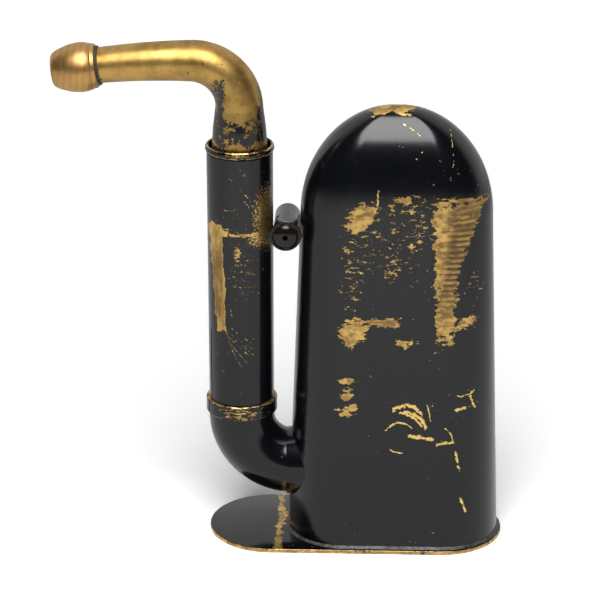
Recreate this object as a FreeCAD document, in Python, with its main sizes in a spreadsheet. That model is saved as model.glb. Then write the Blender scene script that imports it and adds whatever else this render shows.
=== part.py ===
"""Black japanned brass ear trumpet: a domed flat resonator on a foot plate, a bent pipe at its side,
a sleeve that slides on a stand pipe, a swivelling bent ear tube with a bulb tip, and a vent cock.

Frame: +Z up, origin on the floor under the resonator's axis, the sleeve on the -X side, front is -Y.
"""

import FreeCAD, Part
import math
import os

import Sketcher
from FreeCAD import Placement, Rotation, Vector

doc = FreeCAD.newDocument("ear_trumpet")

# Driving dimensions, in millimetres and degrees

DIMENSIONS = {
    # foot plate
    "foot_left": 73.3,
    "foot_right": 43.5,
    "foot_half_depth": 25.0,
    "foot_thick": 1.65,
    "sound_hole_radius": 1.7,
    "sound_ring_inner": 7.0,
    "sound_ring_outer": 14.0,
    "sound_inner_count": 6,
    "sound_outer_count": 12,
    # resonator
    "flat_half": 19.1,
    "base_round": 22.8,
    "spring_round": 17.9,
    "spring_height": 134.6,
    "dome_rise": 42.7,
    "wall_thick": 0.7,
    "lap_height": 9.0,
    "lap_thick": 0.5,
    "bead_size": 0.9,
    # pipe run
    "tube_offset": 60.24,
    "pipe_radius": 12.9,
    "pipe_thick": 0.8,
    "elbow_bend": 20.6,
    "elbow_top": 51.5,
    "elbow_straight": 1.9,
    "elbow_end": 34.0,
    "joint_radius": 15.0,
    "joint_width": 4.0,
    # collector inside the resonator; its top is measured up from the stay
    "collector_thick": 0.5,
    "collector_spigot": 4.5,
    "collector_bend": 20.0,
    "collector_top": 11.0,
    "bell_rise": 18.0,
    "bell_radius": 15.0,
    "bell_flare": 24.0,
    "bell_socket": 5.0,
    "stay_height": 84.0,
    "stay_thick": 1.0,
    "stay_half_width": 15.0,
    # sleeve and stand pipe; the stand's top is below the sleeve's, the sleeve's foot above the elbow
    "stand_top": 43.5,
    "stand_thick": 0.7,
    "sleeve_radius": 12.75,
    "sleeve_thick": 0.8,
    "sleeve_foot": 0.1,
    "sleeve_top": 161.5,
    "rim_height": 2.6,
    "rim_groove": 0.5,
    "band_height": 5.7,
    "band_proud": 1.25,
    "slit_width": 0.8,
    "slit_height": 35.6,
    "slit_angle": 64.0,
    # ear tube; feet and spigot are measured down from the sleeve's top, neck and bend up from it
    "ear_foot": 15.5,
    "ear_spigot_foot": 35.5,
    "ear_spigot_top": 11.5,
    "ear_spigot_thick": 0.7,
    "ear_mouth_radius": 10.65,
    "ear_neck_height": 7.0,
    "ear_neck_radius": 10.1,
    "ear_bend_start": 14.5,
    "ear_start_radius": 9.15,
    "ear_bend": 18.0,
    "ear_end_radius": 7.85,
    "ear_arm_bend": 288.0,
    "ear_droop": 6.9,
    "ear_arm_radius": 6.8,
    "ear_thick": 0.9,
    # ear tip
    "nipple_inset": 5.0,
    "nipple_out": 8.6,
    "nipple_thick": 0.9,
    "packing_width": 0.9,
    "packing_radius": 7.5,
    "tip_length": 17.2,
    "tip_radius": 9.46,
    "tip_rim_radius": 8.3,
    "tip_widest": 5.4,
    "tip_end_radius": 5.2,
    "tip_back_arc": 14.0,
    "tip_front_arc": 14.0,
    "tip_bore": 3.6,
    "tip_socket": 8.6,
    # vent cock; its height is below the spring line, its offset the gap to the sleeve
    "vent_offset": 0.19,
    "vent_height": 6.3,
    "barrel_radius": 4.95,
    "barrel_front": 10.6,
    "barrel_rear": 12.5,
    "plug_radius": 3.2,
    "port_radius": 1.4,
    "port_tilt": 40.0,
    "port_reach": 9.5,
    "knob_radius": 5.6,
    "knob_edge": 0.9,
    "knob_rise": 3.4,
    "knob_hole": 0.6,
    "knob_hole_depth": 1.4,
    "boss_radius": 2.0,
    "boss_length": 1.6,
    "washer_thick": 0.7,
    "washer_radius": 4.4,
    "screw_radius": 1.2,
    "screw_head_radius": 2.4,
    "screw_head": 1.3,
    "screw_grip": 5.0,
    "saddle_half_length": 7.0,
    "saddle_half_height": 2.2,
    # clearances
    "running_gap": 0.05,
    "seat_gap": 0.02,
}

sheet = doc.addObject("Spreadsheet::Sheet", "dims")
for row, (alias, value) in enumerate(DIMENSIONS.items(), start=1):
    sheet.set(f"A{row}", alias)
    sheet.set(f"B{row}", str(value))
    sheet.setAlias(f"B{row}", alias)
doc.recompute()

PARTS = []

# Lengths that several pieces share, written once as expressions

PIPE_BORE = "(dims.pipe_radius - dims.pipe_thick)"
COLLECTOR_TOP = "(dims.stay_height + dims.collector_top)"
SLEEVE_FOOT = "(dims.elbow_top + dims.sleeve_foot)"
STAND_TOP = "(dims.sleeve_top - dims.stand_top)"
EAR_FOOT = "(dims.sleeve_top - dims.ear_foot)"
SPIGOT_FOOT = "(dims.sleeve_top - dims.ear_spigot_foot)"
SPIGOT_TOP = "(dims.sleeve_top - dims.ear_spigot_top)"
EAR_NECK = "(dims.sleeve_top + dims.ear_neck_height)"
EAR_BEND_START = "(dims.sleeve_top + dims.ear_bend_start)"
SLEEVE_BORE = "(dims.sleeve_radius - dims.sleeve_thick)"
STAND_RADIUS = "(" + SLEEVE_BORE + " - dims.running_gap)"
COLLECTOR_RADIUS = "(" + PIPE_BORE + " - dims.seat_gap)"
ELBOW_AXIS = "(dims.elbow_top - dims.elbow_straight - dims.elbow_bend)"
SPIGOT_RADIUS = "(" + SLEEVE_BORE + " - dims.running_gap)"
SPIGOT_BORE = "(" + SPIGOT_RADIUS + " - dims.ear_spigot_thick)"
EAR_FOOT_RADIUS = "(" + SPIGOT_BORE + " - dims.seat_gap)"
ARM_BORE = "(dims.ear_arm_radius - dims.ear_thick)"
NIPPLE_RADIUS = "(" + ARM_BORE + " - dims.running_gap)"
ARM_END_X = "(dims.tube_offset + dims.ear_bend + dims.ear_arm_bend * sin(dims.ear_droop * 1 deg))"
ARM_END_Z = (
    f"({EAR_BEND_START} + dims.ear_bend"
    " - dims.ear_arm_bend * (1 - cos(dims.ear_droop * 1 deg)))"
)
VENT_OFFSET = "(dims.tube_offset - dims.sleeve_radius - dims.barrel_radius - dims.vent_offset)"
VENT_HEIGHT = "(dims.spring_height - dims.vent_height)"
PLUG_BORE = "(dims.plug_radius + dims.running_gap)"
KNOB_BACK = "(dims.barrel_front + 2 * dims.running_gap)"
WASHER_FACE = "(dims.barrel_rear + dims.running_gap)"


def wall_round(height):
    """End radius of the resonator's outside at a height, as an expression."""
    return (
        "(dims.base_round - (dims.base_round - dims.spring_round)"
        f" * ({height} - dims.foot_thick) / (dims.spring_height - dims.foot_thick))"
    )


def number(expression):
    """The present value of an expression, as a plain number."""
    value = sheet.evalExpression(expression)
    return float(getattr(value, "Value", value))


def bind(thing, **expressions):
    """Ties properties to the sheet; a double underscore in a name stands for a dot."""
    for name, expression in expressions.items():
        thing.setExpression(name.replace("__", "."), expression)
    return thing


def keep(thing, label):
    """Marks a document object as one finished sub-part."""
    thing.Label = label
    PARTS.append(thing)
    return thing


def new_body(label):
    """A PartDesign body that becomes one sub-part."""
    body = doc.addObject("PartDesign::Body", label + "_body")
    return keep(body, label)


def sketch_on(body, plane, name, shift=("0", "0", "0"), turn=None):
    """A sketch on an origin plane of a body, shifted and turned inside that plane."""
    sketch = body.newObject("Sketcher::SketchObject", name)
    face = next(item for item in body.Origin.OriginFeatures if item.Role == plane)
    sketch.AttachmentSupport = [(face, "")]
    sketch.MapMode = "FlatFace"
    place = Vector(*[number(item) for item in shift])
    angle = number(turn) if turn else 0.0
    sketch.AttachmentOffset = Placement(place, Rotation(Vector(0, 0, 1), angle))
    for axis, item in zip("xyz", shift):
        if item != "0":
            sketch.setExpression("AttachmentOffset.Base." + axis, item)
    if turn:
        sketch.setExpression("AttachmentOffset.Rotation.Angle", turn)
    doc.recompute()
    return sketch


def arc_middle(start, end, radius, side):
    """The middle point of a minor arc that bulges to one side of its chord."""
    chord = end - start
    half = chord.Length / 2
    rise = radius - math.sqrt(max(radius * radius - half * half, 0.0))
    across = Vector(-chord.y, chord.x, 0).normalize()
    return (start + end) * 0.5 + across * (rise * side)


def outline(sketch, corners, arcs=None, closed=True):
    """Draws lines and arcs through corners and ties each corner and each radius to the sheet.

    Args:
        sketch: the sketch that takes the outline.
        corners: pairs of expressions for the two sketch coordinates.
        arcs: for the number of a stretch, its radius expression and the side that it bulges to.
        closed: whether the last corner joins the first.
    """
    arcs = arcs or {}
    points = [Vector(number(first), number(second), 0) for first, second in corners]
    count = len(points) if closed else len(points) - 1
    ends = []
    for index in range(count):
        start = points[index]
        end = points[(index + 1) % len(points)]
        if index in arcs:
            radius, side = arcs[index]
            middle = arc_middle(start, end, number(radius), side)
            geo = sketch.addGeometry(Part.Arc(start, middle, end))
            swapped = sketch.getPoint(geo, 1).distanceToPoint(start) > 1e-6
            ends.append((geo, 2, 1) if swapped else (geo, 1, 2))
        else:
            geo = sketch.addGeometry(Part.LineSegment(start, end))
            ends.append((geo, 1, 2))
    joins = count if closed else count - 1
    for index in range(joins):
        geo, _, tail = ends[index]
        following, head, _ = ends[(index + 1) % count]
        sketch.addConstraint(Sketcher.Constraint("Coincident", geo, tail, following, head))
    for index, (first, second) in enumerate(corners):
        if index < count:
            geo, spot = ends[index][0], ends[index][1]
        else:
            geo, spot = ends[-1][0], ends[-1][2]
        for axis, item, rail in (("X", first, -2), ("Y", second, -1)):
            if item == "0":
                sketch.addConstraint(Sketcher.Constraint("PointOnObject", geo, spot, rail))
                continue
            rule = Sketcher.Constraint("Distance" + axis, -1, 1, geo, spot, number(item))
            place = sketch.addConstraint(rule)
            sketch.renameConstraint(place, f"corner_{index}_{axis.lower()}")
            sketch.setExpression(f"Constraints.corner_{index}_{axis.lower()}", item)
    for index, (radius, _) in arcs.items():
        place = sketch.addConstraint(Sketcher.Constraint("Radius", ends[index][0], number(radius)))
        sketch.renameConstraint(place, f"arc_{index}")
        sketch.setExpression(f"Constraints.arc_{index}", radius)
    return sketch


def circle(sketch, radius, name, across="0", along="0"):
    """A circle in a sketch, its radius and its centre tied to the sheet."""
    centre = Vector(number(across), number(along), 0)
    geo = sketch.addGeometry(Part.Circle(centre, Vector(0, 0, 1), number(radius)))
    for axis, item, rail in (("X", across, -2), ("Y", along, -1)):
        if item == "0":
            sketch.addConstraint(Sketcher.Constraint("PointOnObject", geo, 3, rail))
            continue
        place = sketch.addConstraint(Sketcher.Constraint("Distance" + axis, -1, 1, geo, 3, number(item)))
        sketch.renameConstraint(place, f"{name}_{axis.lower()}")
        sketch.setExpression(f"Constraints.{name}_{axis.lower()}", item)
    place = sketch.addConstraint(Sketcher.Constraint("Radius", geo, number(radius)))
    sketch.renameConstraint(place, name)
    sketch.setExpression("Constraints." + name, radius)
    return geo


def stadium(sketch, left, right, radius, name):
    """A stadium outline: two straight sides and two round ends with centres on the X axis."""
    a, b, r = number(left), number(right), number(radius)
    up, quarter = Vector(0, 0, 1), math.pi / 2
    west = Part.ArcOfCircle(Part.Circle(Vector(-a, 0, 0), up, r), quarter, 3 * quarter)
    south = Part.LineSegment(Vector(-a, -r, 0), Vector(b, -r, 0))
    east = Part.ArcOfCircle(Part.Circle(Vector(b, 0, 0), up, r), -quarter, quarter)
    north = Part.LineSegment(Vector(b, r, 0), Vector(-a, r, 0))
    geos = [sketch.addGeometry(item) for item in (west, south, east, north)]
    for here, there in zip(geos, geos[1:] + geos[:1]):
        sketch.addConstraint(Sketcher.Constraint("Tangent", here, 2, there, 1))
    sketch.addConstraint(Sketcher.Constraint("Horizontal", geos[1]))
    for geo in (geos[0], geos[2]):
        sketch.addConstraint(Sketcher.Constraint("PointOnObject", geo, 3, -1))
    rules = (
        ("left", Sketcher.Constraint("DistanceX", geos[0], 3, -1, 1, a), left),
        ("right", Sketcher.Constraint("DistanceX", -1, 1, geos[2], 3, b), right),
        ("round", Sketcher.Constraint("Radius", geos[0], r), radius),
    )
    for suffix, rule, item in rules:
        place = sketch.addConstraint(rule)
        sketch.renameConstraint(place, f"{name}_{suffix}")
        sketch.setExpression(f"Constraints.{name}_{suffix}", item)
    return sketch


def turned(label, plane, shift, corners, arcs=None, turn=None):
    """A body turned about the upright axis of a sketch."""
    body = new_body(label)
    sketch = sketch_on(body, plane, label + "_profile", shift, turn)
    outline(sketch, corners, arcs)
    spin = body.newObject("PartDesign::Revolution", label + "_turned")
    spin.Profile = sketch
    spin.ReferenceAxis = (sketch, ["V_Axis"])
    spin.Angle = 360
    body.Tip = spin
    doc.recompute()
    return body


def piped(label, corners, arcs, radius, bore, plane, shift):
    """A tube swept along a path in the XZ plane, its ring drawn on another plane."""
    body = new_body(label)
    path = sketch_on(body, "XZ_Plane", label + "_path")
    outline(path, corners, arcs, closed=False)
    ring = sketch_on(body, plane, label + "_ring", shift)
    circle(ring, radius, "outside")
    circle(ring, bore, "inside")
    sweep = body.newObject("PartDesign::AdditivePipe", label + "_sweep")
    sweep.Profile = ring
    sweep.Spine = (path, [f"Edge{index + 1}" for index in range(len(corners) - 1)])
    body.Tip = sweep
    doc.recompute()
    return body


def bored(body, plane, name, shift, radius, across="0", along="0", through=True):
    """A round hole bored both ways through a body from one of its origin planes."""
    sketch = sketch_on(body, plane, name, shift)
    circle(sketch, radius, "hole", across, along)
    cut = body.newObject("PartDesign::Pocket", name + "_cut")
    cut.Profile = sketch
    cut.Type = "ThroughAll"
    cut.Midplane = through
    body.Tip = cut
    doc.recompute()
    return cut


def loft(name, sections, ruled=False):
    """A solid lofted through closed sections."""
    solid = doc.addObject("Part::Loft", name)
    solid.Sections = sections
    solid.Solid = True
    solid.Ruled = ruled
    doc.recompute()
    return solid


def stadium_at(name, height, flat, radius):
    """A free sketch with a stadium at a height, used as a loft section."""
    sketch = doc.addObject("Sketcher::SketchObject", name)
    stadium(sketch, flat, flat, radius, "end")
    sketch.Placement = Placement(Vector(0, 0, number(height)), Rotation())
    sketch.setExpression("Placement.Base.z", height)
    return sketch


def cut(name, base, tool):
    """One solid less another."""
    result = doc.addObject("Part::Cut", name)
    result.Base = base
    result.Tool = tool
    doc.recompute()
    return result


def cylinder(name, radius, length, place, axis=None, angle="0"):
    """A cylinder whose foot centre and sizes are tied to the sheet."""
    rod = doc.addObject("Part::Cylinder", name)
    bind(rod, Radius=radius, Height=length)
    spin = Rotation(axis, number(angle)) if axis else Rotation()
    rod.Placement = Placement(Vector(*[number(item) for item in place]), spin)
    for letter, item in zip("xyz", place):
        rod.setExpression("Placement.Base." + letter, item)
    if axis:
        rod.setExpression("Placement.Rotation.Angle", angle)
    doc.recompute()
    return rod


# The slanting port of the vent cock, cut through barrel, plug, saddle and wall alike

vent_port = cylinder(
    "vent_port",
    "dims.port_radius",
    "2 * dims.port_reach",
    (
        f"-{VENT_OFFSET} - dims.port_reach * cos(dims.port_tilt * 1 deg)",
        "0",
        f"{VENT_HEIGHT} + dims.port_reach * sin(dims.port_tilt * 1 deg)",
    ),
    Vector(0, 1, 0),
    "90 + dims.port_tilt",
)

# Foot plate with its two rings of sound holes

foot = new_body("foot_plate")
foot_sketch = sketch_on(foot, "XY_Plane", "foot_outline")
stadium(
    foot_sketch,
    "dims.foot_left - dims.foot_half_depth",
    "dims.foot_right - dims.foot_half_depth",
    "dims.foot_half_depth",
    "plate",
)
foot_pad = foot.newObject("PartDesign::Pad", "foot_pad")
foot_pad.Profile = foot_sketch
bind(foot_pad, Length="dims.foot_thick")
foot.Tip = foot_pad
doc.recompute()
for ring in ("inner", "outer"):
    hole = bored(
        foot,
        "XY_Plane",
        f"sound_hole_{ring}",
        ("0", "0", "0"),
        "dims.sound_hole_radius",
        across=f"dims.sound_ring_{ring}",
    )
    pattern = foot.newObject("PartDesign::PolarPattern", f"sound_ring_{ring}")
    pattern.Originals = [hole]
    pattern.Axis = (hole.Profile[0], ["N_Axis"])
    pattern.Angle = 360
    bind(pattern, Occurrences=f"dims.sound_{ring}_count")
    foot.Tip = pattern
    doc.recompute()

# Resonator wall, tapered, with the holes for the pipe and the vent

wall_outer = loft(
    "wall_outer",
    [
        stadium_at("wall_outer_base", "dims.foot_thick", "dims.flat_half", "dims.base_round"),
        stadium_at("wall_outer_spring", "dims.spring_height", "dims.flat_half", "dims.spring_round"),
    ],
    ruled=True,
)
wall_inner = loft(
    "wall_inner",
    [
        stadium_at(
            "wall_inner_base",
            "dims.foot_thick",
            "dims.flat_half",
            "dims.base_round - dims.wall_thick",
        ),
        stadium_at(
            "wall_inner_spring",
            "dims.spring_height",
            "dims.flat_half",
            "dims.spring_round - dims.wall_thick",
        ),
    ],
    ruled=True,
)
wall_shell = cut("wall_shell", wall_outer, wall_inner)
pipe_hole = cylinder(
    "pipe_hole",
    "dims.pipe_radius + dims.seat_gap",
    "dims.tube_offset",
    ("-dims.tube_offset", "0", ELBOW_AXIS),
    Vector(0, 1, 0),
    "90",
)
wall_bored = cut("wall_bored", wall_shell, pipe_hole)
keep(cut("wall_finished", wall_bored, vent_port), "resonator_wall")

# Dome, lofted through stadiums that shrink along a quarter ellipse

DOME_STEPS = (0, 14, 28, 42, 56, 68, 78, 85, 88.5)


def dome_sections(prefix, inset):
    """Sections of the dome's outer or inner skin."""
    sections = []
    for index, step in enumerate(DOME_STEPS):
        scale = f"cos({step} deg)"
        sections.append(
            stadium_at(
                f"{prefix}_{index}",
                f"dims.spring_height + (dims.dome_rise - {inset}) * sin({step} deg)",
                f"dims.flat_half * {scale}",
                f"(dims.spring_round - {inset}) * {scale}",
            )
        )
    return sections


dome_outer = loft("dome_outer", dome_sections("dome_outer_section", "0"))
dome_inner = loft("dome_inner", dome_sections("dome_inner_section", "dims.wall_thick"))
keep(cut("dome_finished", dome_outer, dome_inner), "dome_cap")

# Lap strip behind the joint of wall and dome

lap = new_body("dome_lap_strip")
LAP_HALF = "dims.flat_half - 5 * dims.seat_gap"
LAP_ROUND = "dims.spring_round - dims.wall_thick - 5 * dims.seat_gap"
lap_sketch = sketch_on(
    lap, "XY_Plane", "lap_outline", ("0", "0", "dims.spring_height - dims.lap_height / 2")
)
stadium(lap_sketch, LAP_HALF, LAP_HALF, LAP_ROUND, "outer")
stadium(
    lap_sketch,
    "dims.flat_half - 5 * dims.seat_gap",
    "dims.flat_half - 5 * dims.seat_gap",
    LAP_ROUND + " - dims.lap_thick",
    "inner",
)
lap_pad = lap.newObject("PartDesign::Pad", "lap_pad")
lap_pad.Profile = lap_sketch
bind(lap_pad, Length="dims.lap_height")
lap.Tip = lap_pad
doc.recompute()

# Solder fillet round the wall's foot

fillet_block = loft(
    "fillet_block",
    [
        stadium_at("fillet_low", "dims.foot_thick", "dims.flat_half", "dims.base_round + dims.bead_size"),
        stadium_at(
            "fillet_high",
            "dims.foot_thick + dims.bead_size",
            "dims.flat_half",
            wall_round("(dims.foot_thick + dims.bead_size)") + " + 2 * dims.seat_gap",
        ),
    ],
    ruled=True,
)
keep(cut("fillet_finished", fillet_block, wall_outer), "foot_solder_fillet")

# Lower elbow from the stand pipe's foot into the resonator

piped(
    "lower_elbow",
    [
        ("-dims.tube_offset", "dims.elbow_top"),
        ("-dims.tube_offset", "dims.elbow_top - dims.elbow_straight"),
        ("dims.elbow_bend - dims.tube_offset", ELBOW_AXIS),
        ("-dims.elbow_end", ELBOW_AXIS),
    ],
    {1: ("dims.elbow_bend", -1)},
    "dims.pipe_radius",
    PIPE_BORE,
    "XY_Plane",
    ("-dims.tube_offset", "0", "dims.elbow_top"),
)

# Solder cone where the elbow enters the wall

joint_cone = doc.addObject("Part::Cone", "joint_cone")
bind(
    joint_cone,
    Radius1="dims.pipe_radius + 0.5",
    Radius2="dims.joint_radius",
    Height="2 * dims.joint_width",
)
CONE_START = "-dims.flat_half - " + wall_round(ELBOW_AXIS) + " - dims.joint_width / 3"
joint_cone.Placement = Placement(Vector(0, 0, 0), Rotation(Vector(0, 1, 0), 90))
bind(joint_cone, Placement__Base__x=CONE_START, Placement__Base__z=ELBOW_AXIS)
doc.recompute()
wall_end = doc.addObject("Part::Cone", "wall_end")
bind(
    wall_end,
    Radius1="dims.base_round",
    Radius2="dims.spring_round",
    Height="dims.spring_height - dims.foot_thick",
    Placement__Base__x="-dims.flat_half",
    Placement__Base__z="dims.foot_thick",
)
doc.recompute()
joint_trimmed = cut("joint_trimmed", joint_cone, wall_end)
elbow_solid = cylinder(
    "elbow_solid",
    "dims.pipe_radius + dims.seat_gap",
    "dims.tube_offset - dims.elbow_bend",
    ("-dims.tube_offset + dims.elbow_bend", "0", ELBOW_AXIS),
    Vector(0, 1, 0),
    "90",
)
elbow_bend_solid = doc.addObject("Part::Torus", "elbow_bend_solid")
bind(elbow_bend_solid, Radius1="dims.elbow_bend", Radius2="dims.pipe_radius + dims.seat_gap")
elbow_bend_solid.Angle3 = 90
quarter_turn = Rotation(Vector(-1, 0, 0), Vector(0, 0, -1), Vector(0, -1, 0), "XYZ")
elbow_bend_solid.Placement = Placement(Vector(0, 0, 0), quarter_turn)
bind(
    elbow_bend_solid,
    Placement__Base__x="-dims.tube_offset + dims.elbow_bend",
    Placement__Base__z="dims.elbow_top - dims.elbow_straight",
)
doc.recompute()
joint_opened = cut("joint_opened", joint_trimmed, elbow_solid)
keep(cut("joint_finished", joint_opened, elbow_bend_solid), "elbow_solder_cone")

# Collector pipe and its bell, which take the sound from under the dome

piped(
    "collector_pipe",
    [
        ("-dims.elbow_end - dims.collector_spigot", ELBOW_AXIS),
        ("-dims.collector_bend", ELBOW_AXIS),
        ("0", ELBOW_AXIS + " + dims.collector_bend"),
        ("0", COLLECTOR_TOP),
    ],
    {1: ("dims.collector_bend", -1)},
    COLLECTOR_RADIUS,
    COLLECTOR_RADIUS + " - dims.collector_thick",
    "YZ_Plane",
    ("0", ELBOW_AXIS, "-dims.elbow_end - dims.collector_spigot"),
)
BELL_BORE = COLLECTOR_RADIUS + " + dims.seat_gap"
turned(
    "collector_bell",
    "XZ_Plane",
    ("0", "0", "0"),
    [
        (BELL_BORE, f"{COLLECTOR_TOP} - dims.bell_socket"),
        (BELL_BORE + " + dims.collector_thick", f"{COLLECTOR_TOP} - dims.bell_socket"),
        (BELL_BORE + " + dims.collector_thick", COLLECTOR_TOP),
        ("dims.bell_radius + dims.collector_thick", f"{COLLECTOR_TOP} + dims.bell_rise"),
        ("dims.bell_radius", f"{COLLECTOR_TOP} + dims.bell_rise"),
        (BELL_BORE, COLLECTOR_TOP),
    ],
    {2: ("2 * dims.bell_flare", 1), 4: ("2 * dims.bell_flare", -1)},
)
stay_block = doc.addObject("Part::Box", "stay_block")
bind(
    stay_block,
    Length="2 * dims.stay_half_width",
    Width="2 * dims.base_round",
    Height="dims.stay_thick",
    Placement__Base__x="-dims.stay_half_width",
    Placement__Base__y="-dims.base_round",
    Placement__Base__z="dims.stay_height",
)
doc.recompute()
stay_plate = doc.addObject("Part::Common", "stay_plate")
stay_plate.Base = stay_block
stay_plate.Tool = wall_inner
doc.recompute()
stay_hole = cylinder(
    "stay_hole",
    COLLECTOR_RADIUS + " + dims.seat_gap",
    COLLECTOR_TOP,
    ("0", "0", "dims.spring_height / 2"),
)
keep(cut("stay_finished", stay_plate, stay_hole), "collector_stay")

# Stand pipe inside the sleeve

turned(
    "stand_pipe",
    "XZ_Plane",
    ("-dims.tube_offset", "0", "0"),
    [
        (STAND_RADIUS + " - dims.stand_thick", "dims.elbow_top - dims.elbow_straight"),
        (STAND_RADIUS, "dims.elbow_top - dims.elbow_straight"),
        (STAND_RADIUS, STAND_TOP),
        (STAND_RADIUS + " - dims.stand_thick", STAND_TOP),
    ],
)

# Sleeve, split at its foot, with a split band and a turned rim


def slit(body, name, height):
    """The narrow slit that lets the sleeve's foot grip the stand pipe."""
    sketch = sketch_on(
        body,
        "XY_Plane",
        name,
        ("-dims.tube_offset", "0", f"{SLEEVE_FOOT} - 1"),
        "180 + (90 - dims.slit_angle)",
    )
    outline(
        sketch,
        [
            ("dims.pipe_radius / 2", "-dims.slit_width / 2"),
            ("dims.pipe_radius * 2", "-dims.slit_width / 2"),
            ("dims.pipe_radius * 2", "dims.slit_width / 2"),
            ("dims.pipe_radius / 2", "dims.slit_width / 2"),
        ],
    )
    groove = body.newObject("PartDesign::Pocket", name + "_cut")
    groove.Profile = sketch
    groove.Reversed = True
    bind(groove, Length=height + " + 1")
    body.Tip = groove
    doc.recompute()
    return groove


sleeve = turned(
    "sleeve_tube",
    "XZ_Plane",
    ("-dims.tube_offset", "0", "0"),
    [
        (SLEEVE_BORE, SLEEVE_FOOT),
        ("dims.sleeve_radius", SLEEVE_FOOT),
        ("dims.sleeve_radius", "dims.sleeve_top - dims.rim_height - dims.rim_groove"),
        ("dims.sleeve_radius - dims.rim_groove", "dims.sleeve_top - dims.rim_height - dims.rim_groove / 2"),
        ("dims.sleeve_radius - dims.rim_groove", "dims.sleeve_top - dims.rim_height / 8"),
        (SLEEVE_BORE, "dims.sleeve_top - dims.rim_height / 8"),
    ],
)
slit(sleeve, "sleeve_slit", "dims.slit_height")
band = turned(
    "sleeve_foot_band",
    "XZ_Plane",
    ("-dims.tube_offset", "0", "0"),
    [
        ("dims.sleeve_radius + dims.seat_gap", SLEEVE_FOOT),
        ("dims.sleeve_radius + dims.band_proud - 0.4", SLEEVE_FOOT),
        ("dims.sleeve_radius + dims.band_proud", f"{SLEEVE_FOOT} + 0.4"),
        ("dims.sleeve_radius + dims.band_proud", f"{SLEEVE_FOOT} + dims.band_height - 0.4"),
        ("dims.sleeve_radius + dims.band_proud - 0.4", f"{SLEEVE_FOOT} + dims.band_height"),
        ("dims.sleeve_radius + dims.seat_gap", f"{SLEEVE_FOOT} + dims.band_height"),
    ],
)
slit(band, "band_slit", "dims.band_height * 2")
RIM_BORE = "dims.sleeve_radius - dims.rim_groove + dims.seat_gap"
turned(
    "sleeve_rim",
    "XZ_Plane",
    ("-dims.tube_offset", "0", "0"),
    [
        (RIM_BORE, "dims.sleeve_top - dims.rim_height"),
        ("dims.sleeve_radius", "dims.sleeve_top - dims.rim_height"),
        ("dims.sleeve_radius", "dims.sleeve_top"),
        (RIM_BORE, "dims.sleeve_top"),
    ],
    {1: ("dims.rim_height * 0.7", -1)},
)

# Ear tube: a bent tapering pipe, its spigot in the sleeve, and the nipple for the tip

ear_stem = turned(
    "ear_stem",
    "XZ_Plane",
    ("-dims.tube_offset", "0", "0"),
    [
        (EAR_FOOT_RADIUS + " - dims.ear_thick", EAR_FOOT),
        (EAR_FOOT_RADIUS, EAR_FOOT),
        (EAR_FOOT_RADIUS, SPIGOT_TOP),
        ("dims.ear_mouth_radius", "dims.sleeve_top"),
        ("dims.ear_neck_radius", EAR_NECK),
        ("dims.ear_start_radius", EAR_BEND_START),
        ("dims.ear_start_radius - dims.ear_thick", EAR_BEND_START),
        ("dims.ear_neck_radius - dims.ear_thick", EAR_NECK),
        ("dims.ear_mouth_radius - dims.ear_thick", "dims.sleeve_top"),
        (EAR_FOOT_RADIUS + " - dims.ear_thick", SPIGOT_TOP),
    ],
)
PARTS.remove(ear_stem)


def ear_ring(name, left, height, turn, radius):
    """One ring section of the ear tube, square to its run."""
    ring = doc.addObject("Part::Circle", name)
    bind(ring, Radius=radius)
    spin = Rotation(Vector(0, -1, 0), number(turn))
    ring.Placement = Placement(Vector(-number(left), 0, number(height)), spin)
    ring.setExpression("Placement.Base.x", f"-({left})")
    ring.setExpression("Placement.Base.z", height)
    if turn != "0":
        ring.setExpression("Placement.Rotation.Angle", turn)
    return ring


def bend_rings(prefix, inset):
    """Rings round the quarter bend, each a little narrower than the one before."""
    rings = []
    for step in range(0, 91, 15):
        taper = f"(dims.ear_end_radius - dims.ear_start_radius) * {step} / 90"
        rings.append(
            ear_ring(
                f"{prefix}_{step}",
                f"dims.tube_offset + dims.ear_bend * (1 - cos({step} deg))",
                f"{EAR_BEND_START} + dims.ear_bend * sin({step} deg)",
                f"{step}",
                f"dims.ear_start_radius + {taper} - {inset}",
            )
        )
    return rings


def arm_rings(prefix, inset):
    """Rings along the drooping arm."""
    rings = []
    for step in range(5):
        droop = f"(dims.ear_droop * {step} / 4)"
        rings.append(
            ear_ring(
                f"{prefix}_{step}",
                f"dims.tube_offset + dims.ear_bend + dims.ear_arm_bend * sin({droop} * 1 deg)",
                f"{EAR_BEND_START} + dims.ear_bend - dims.ear_arm_bend * (1 - cos({droop} * 1 deg))",
                f"90 + {droop}",
                f"dims.ear_end_radius + (dims.ear_arm_radius - dims.ear_end_radius) * {step} / 4 - {inset}",
            )
        )
    return rings


ear_bend_tube = cut(
    "ear_bend_tube",
    loft("ear_bend_outer", bend_rings("bend_outer", "0")),
    loft("ear_bend_inner", bend_rings("bend_inner", "dims.ear_thick")),
)
ear_arm_tube = cut(
    "ear_arm_tube",
    loft("ear_arm_outer", arm_rings("arm_outer", "0")),
    loft("ear_arm_inner", arm_rings("arm_inner", "dims.ear_thick")),
)
ear_whole = doc.addObject("Part::MultiFuse", "ear_whole")
ear_whole.Shapes = [ear_stem, ear_bend_tube, ear_arm_tube]
doc.recompute()
keep(ear_whole, "ear_elbow")
turned(
    "ear_spigot",
    "XZ_Plane",
    ("-dims.tube_offset", "0", "0"),
    [
        (SPIGOT_BORE, SPIGOT_FOOT),
        (SPIGOT_RADIUS, SPIGOT_FOOT),
        (SPIGOT_RADIUS, SPIGOT_TOP),
        (SPIGOT_BORE, SPIGOT_TOP),
    ],
)

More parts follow.
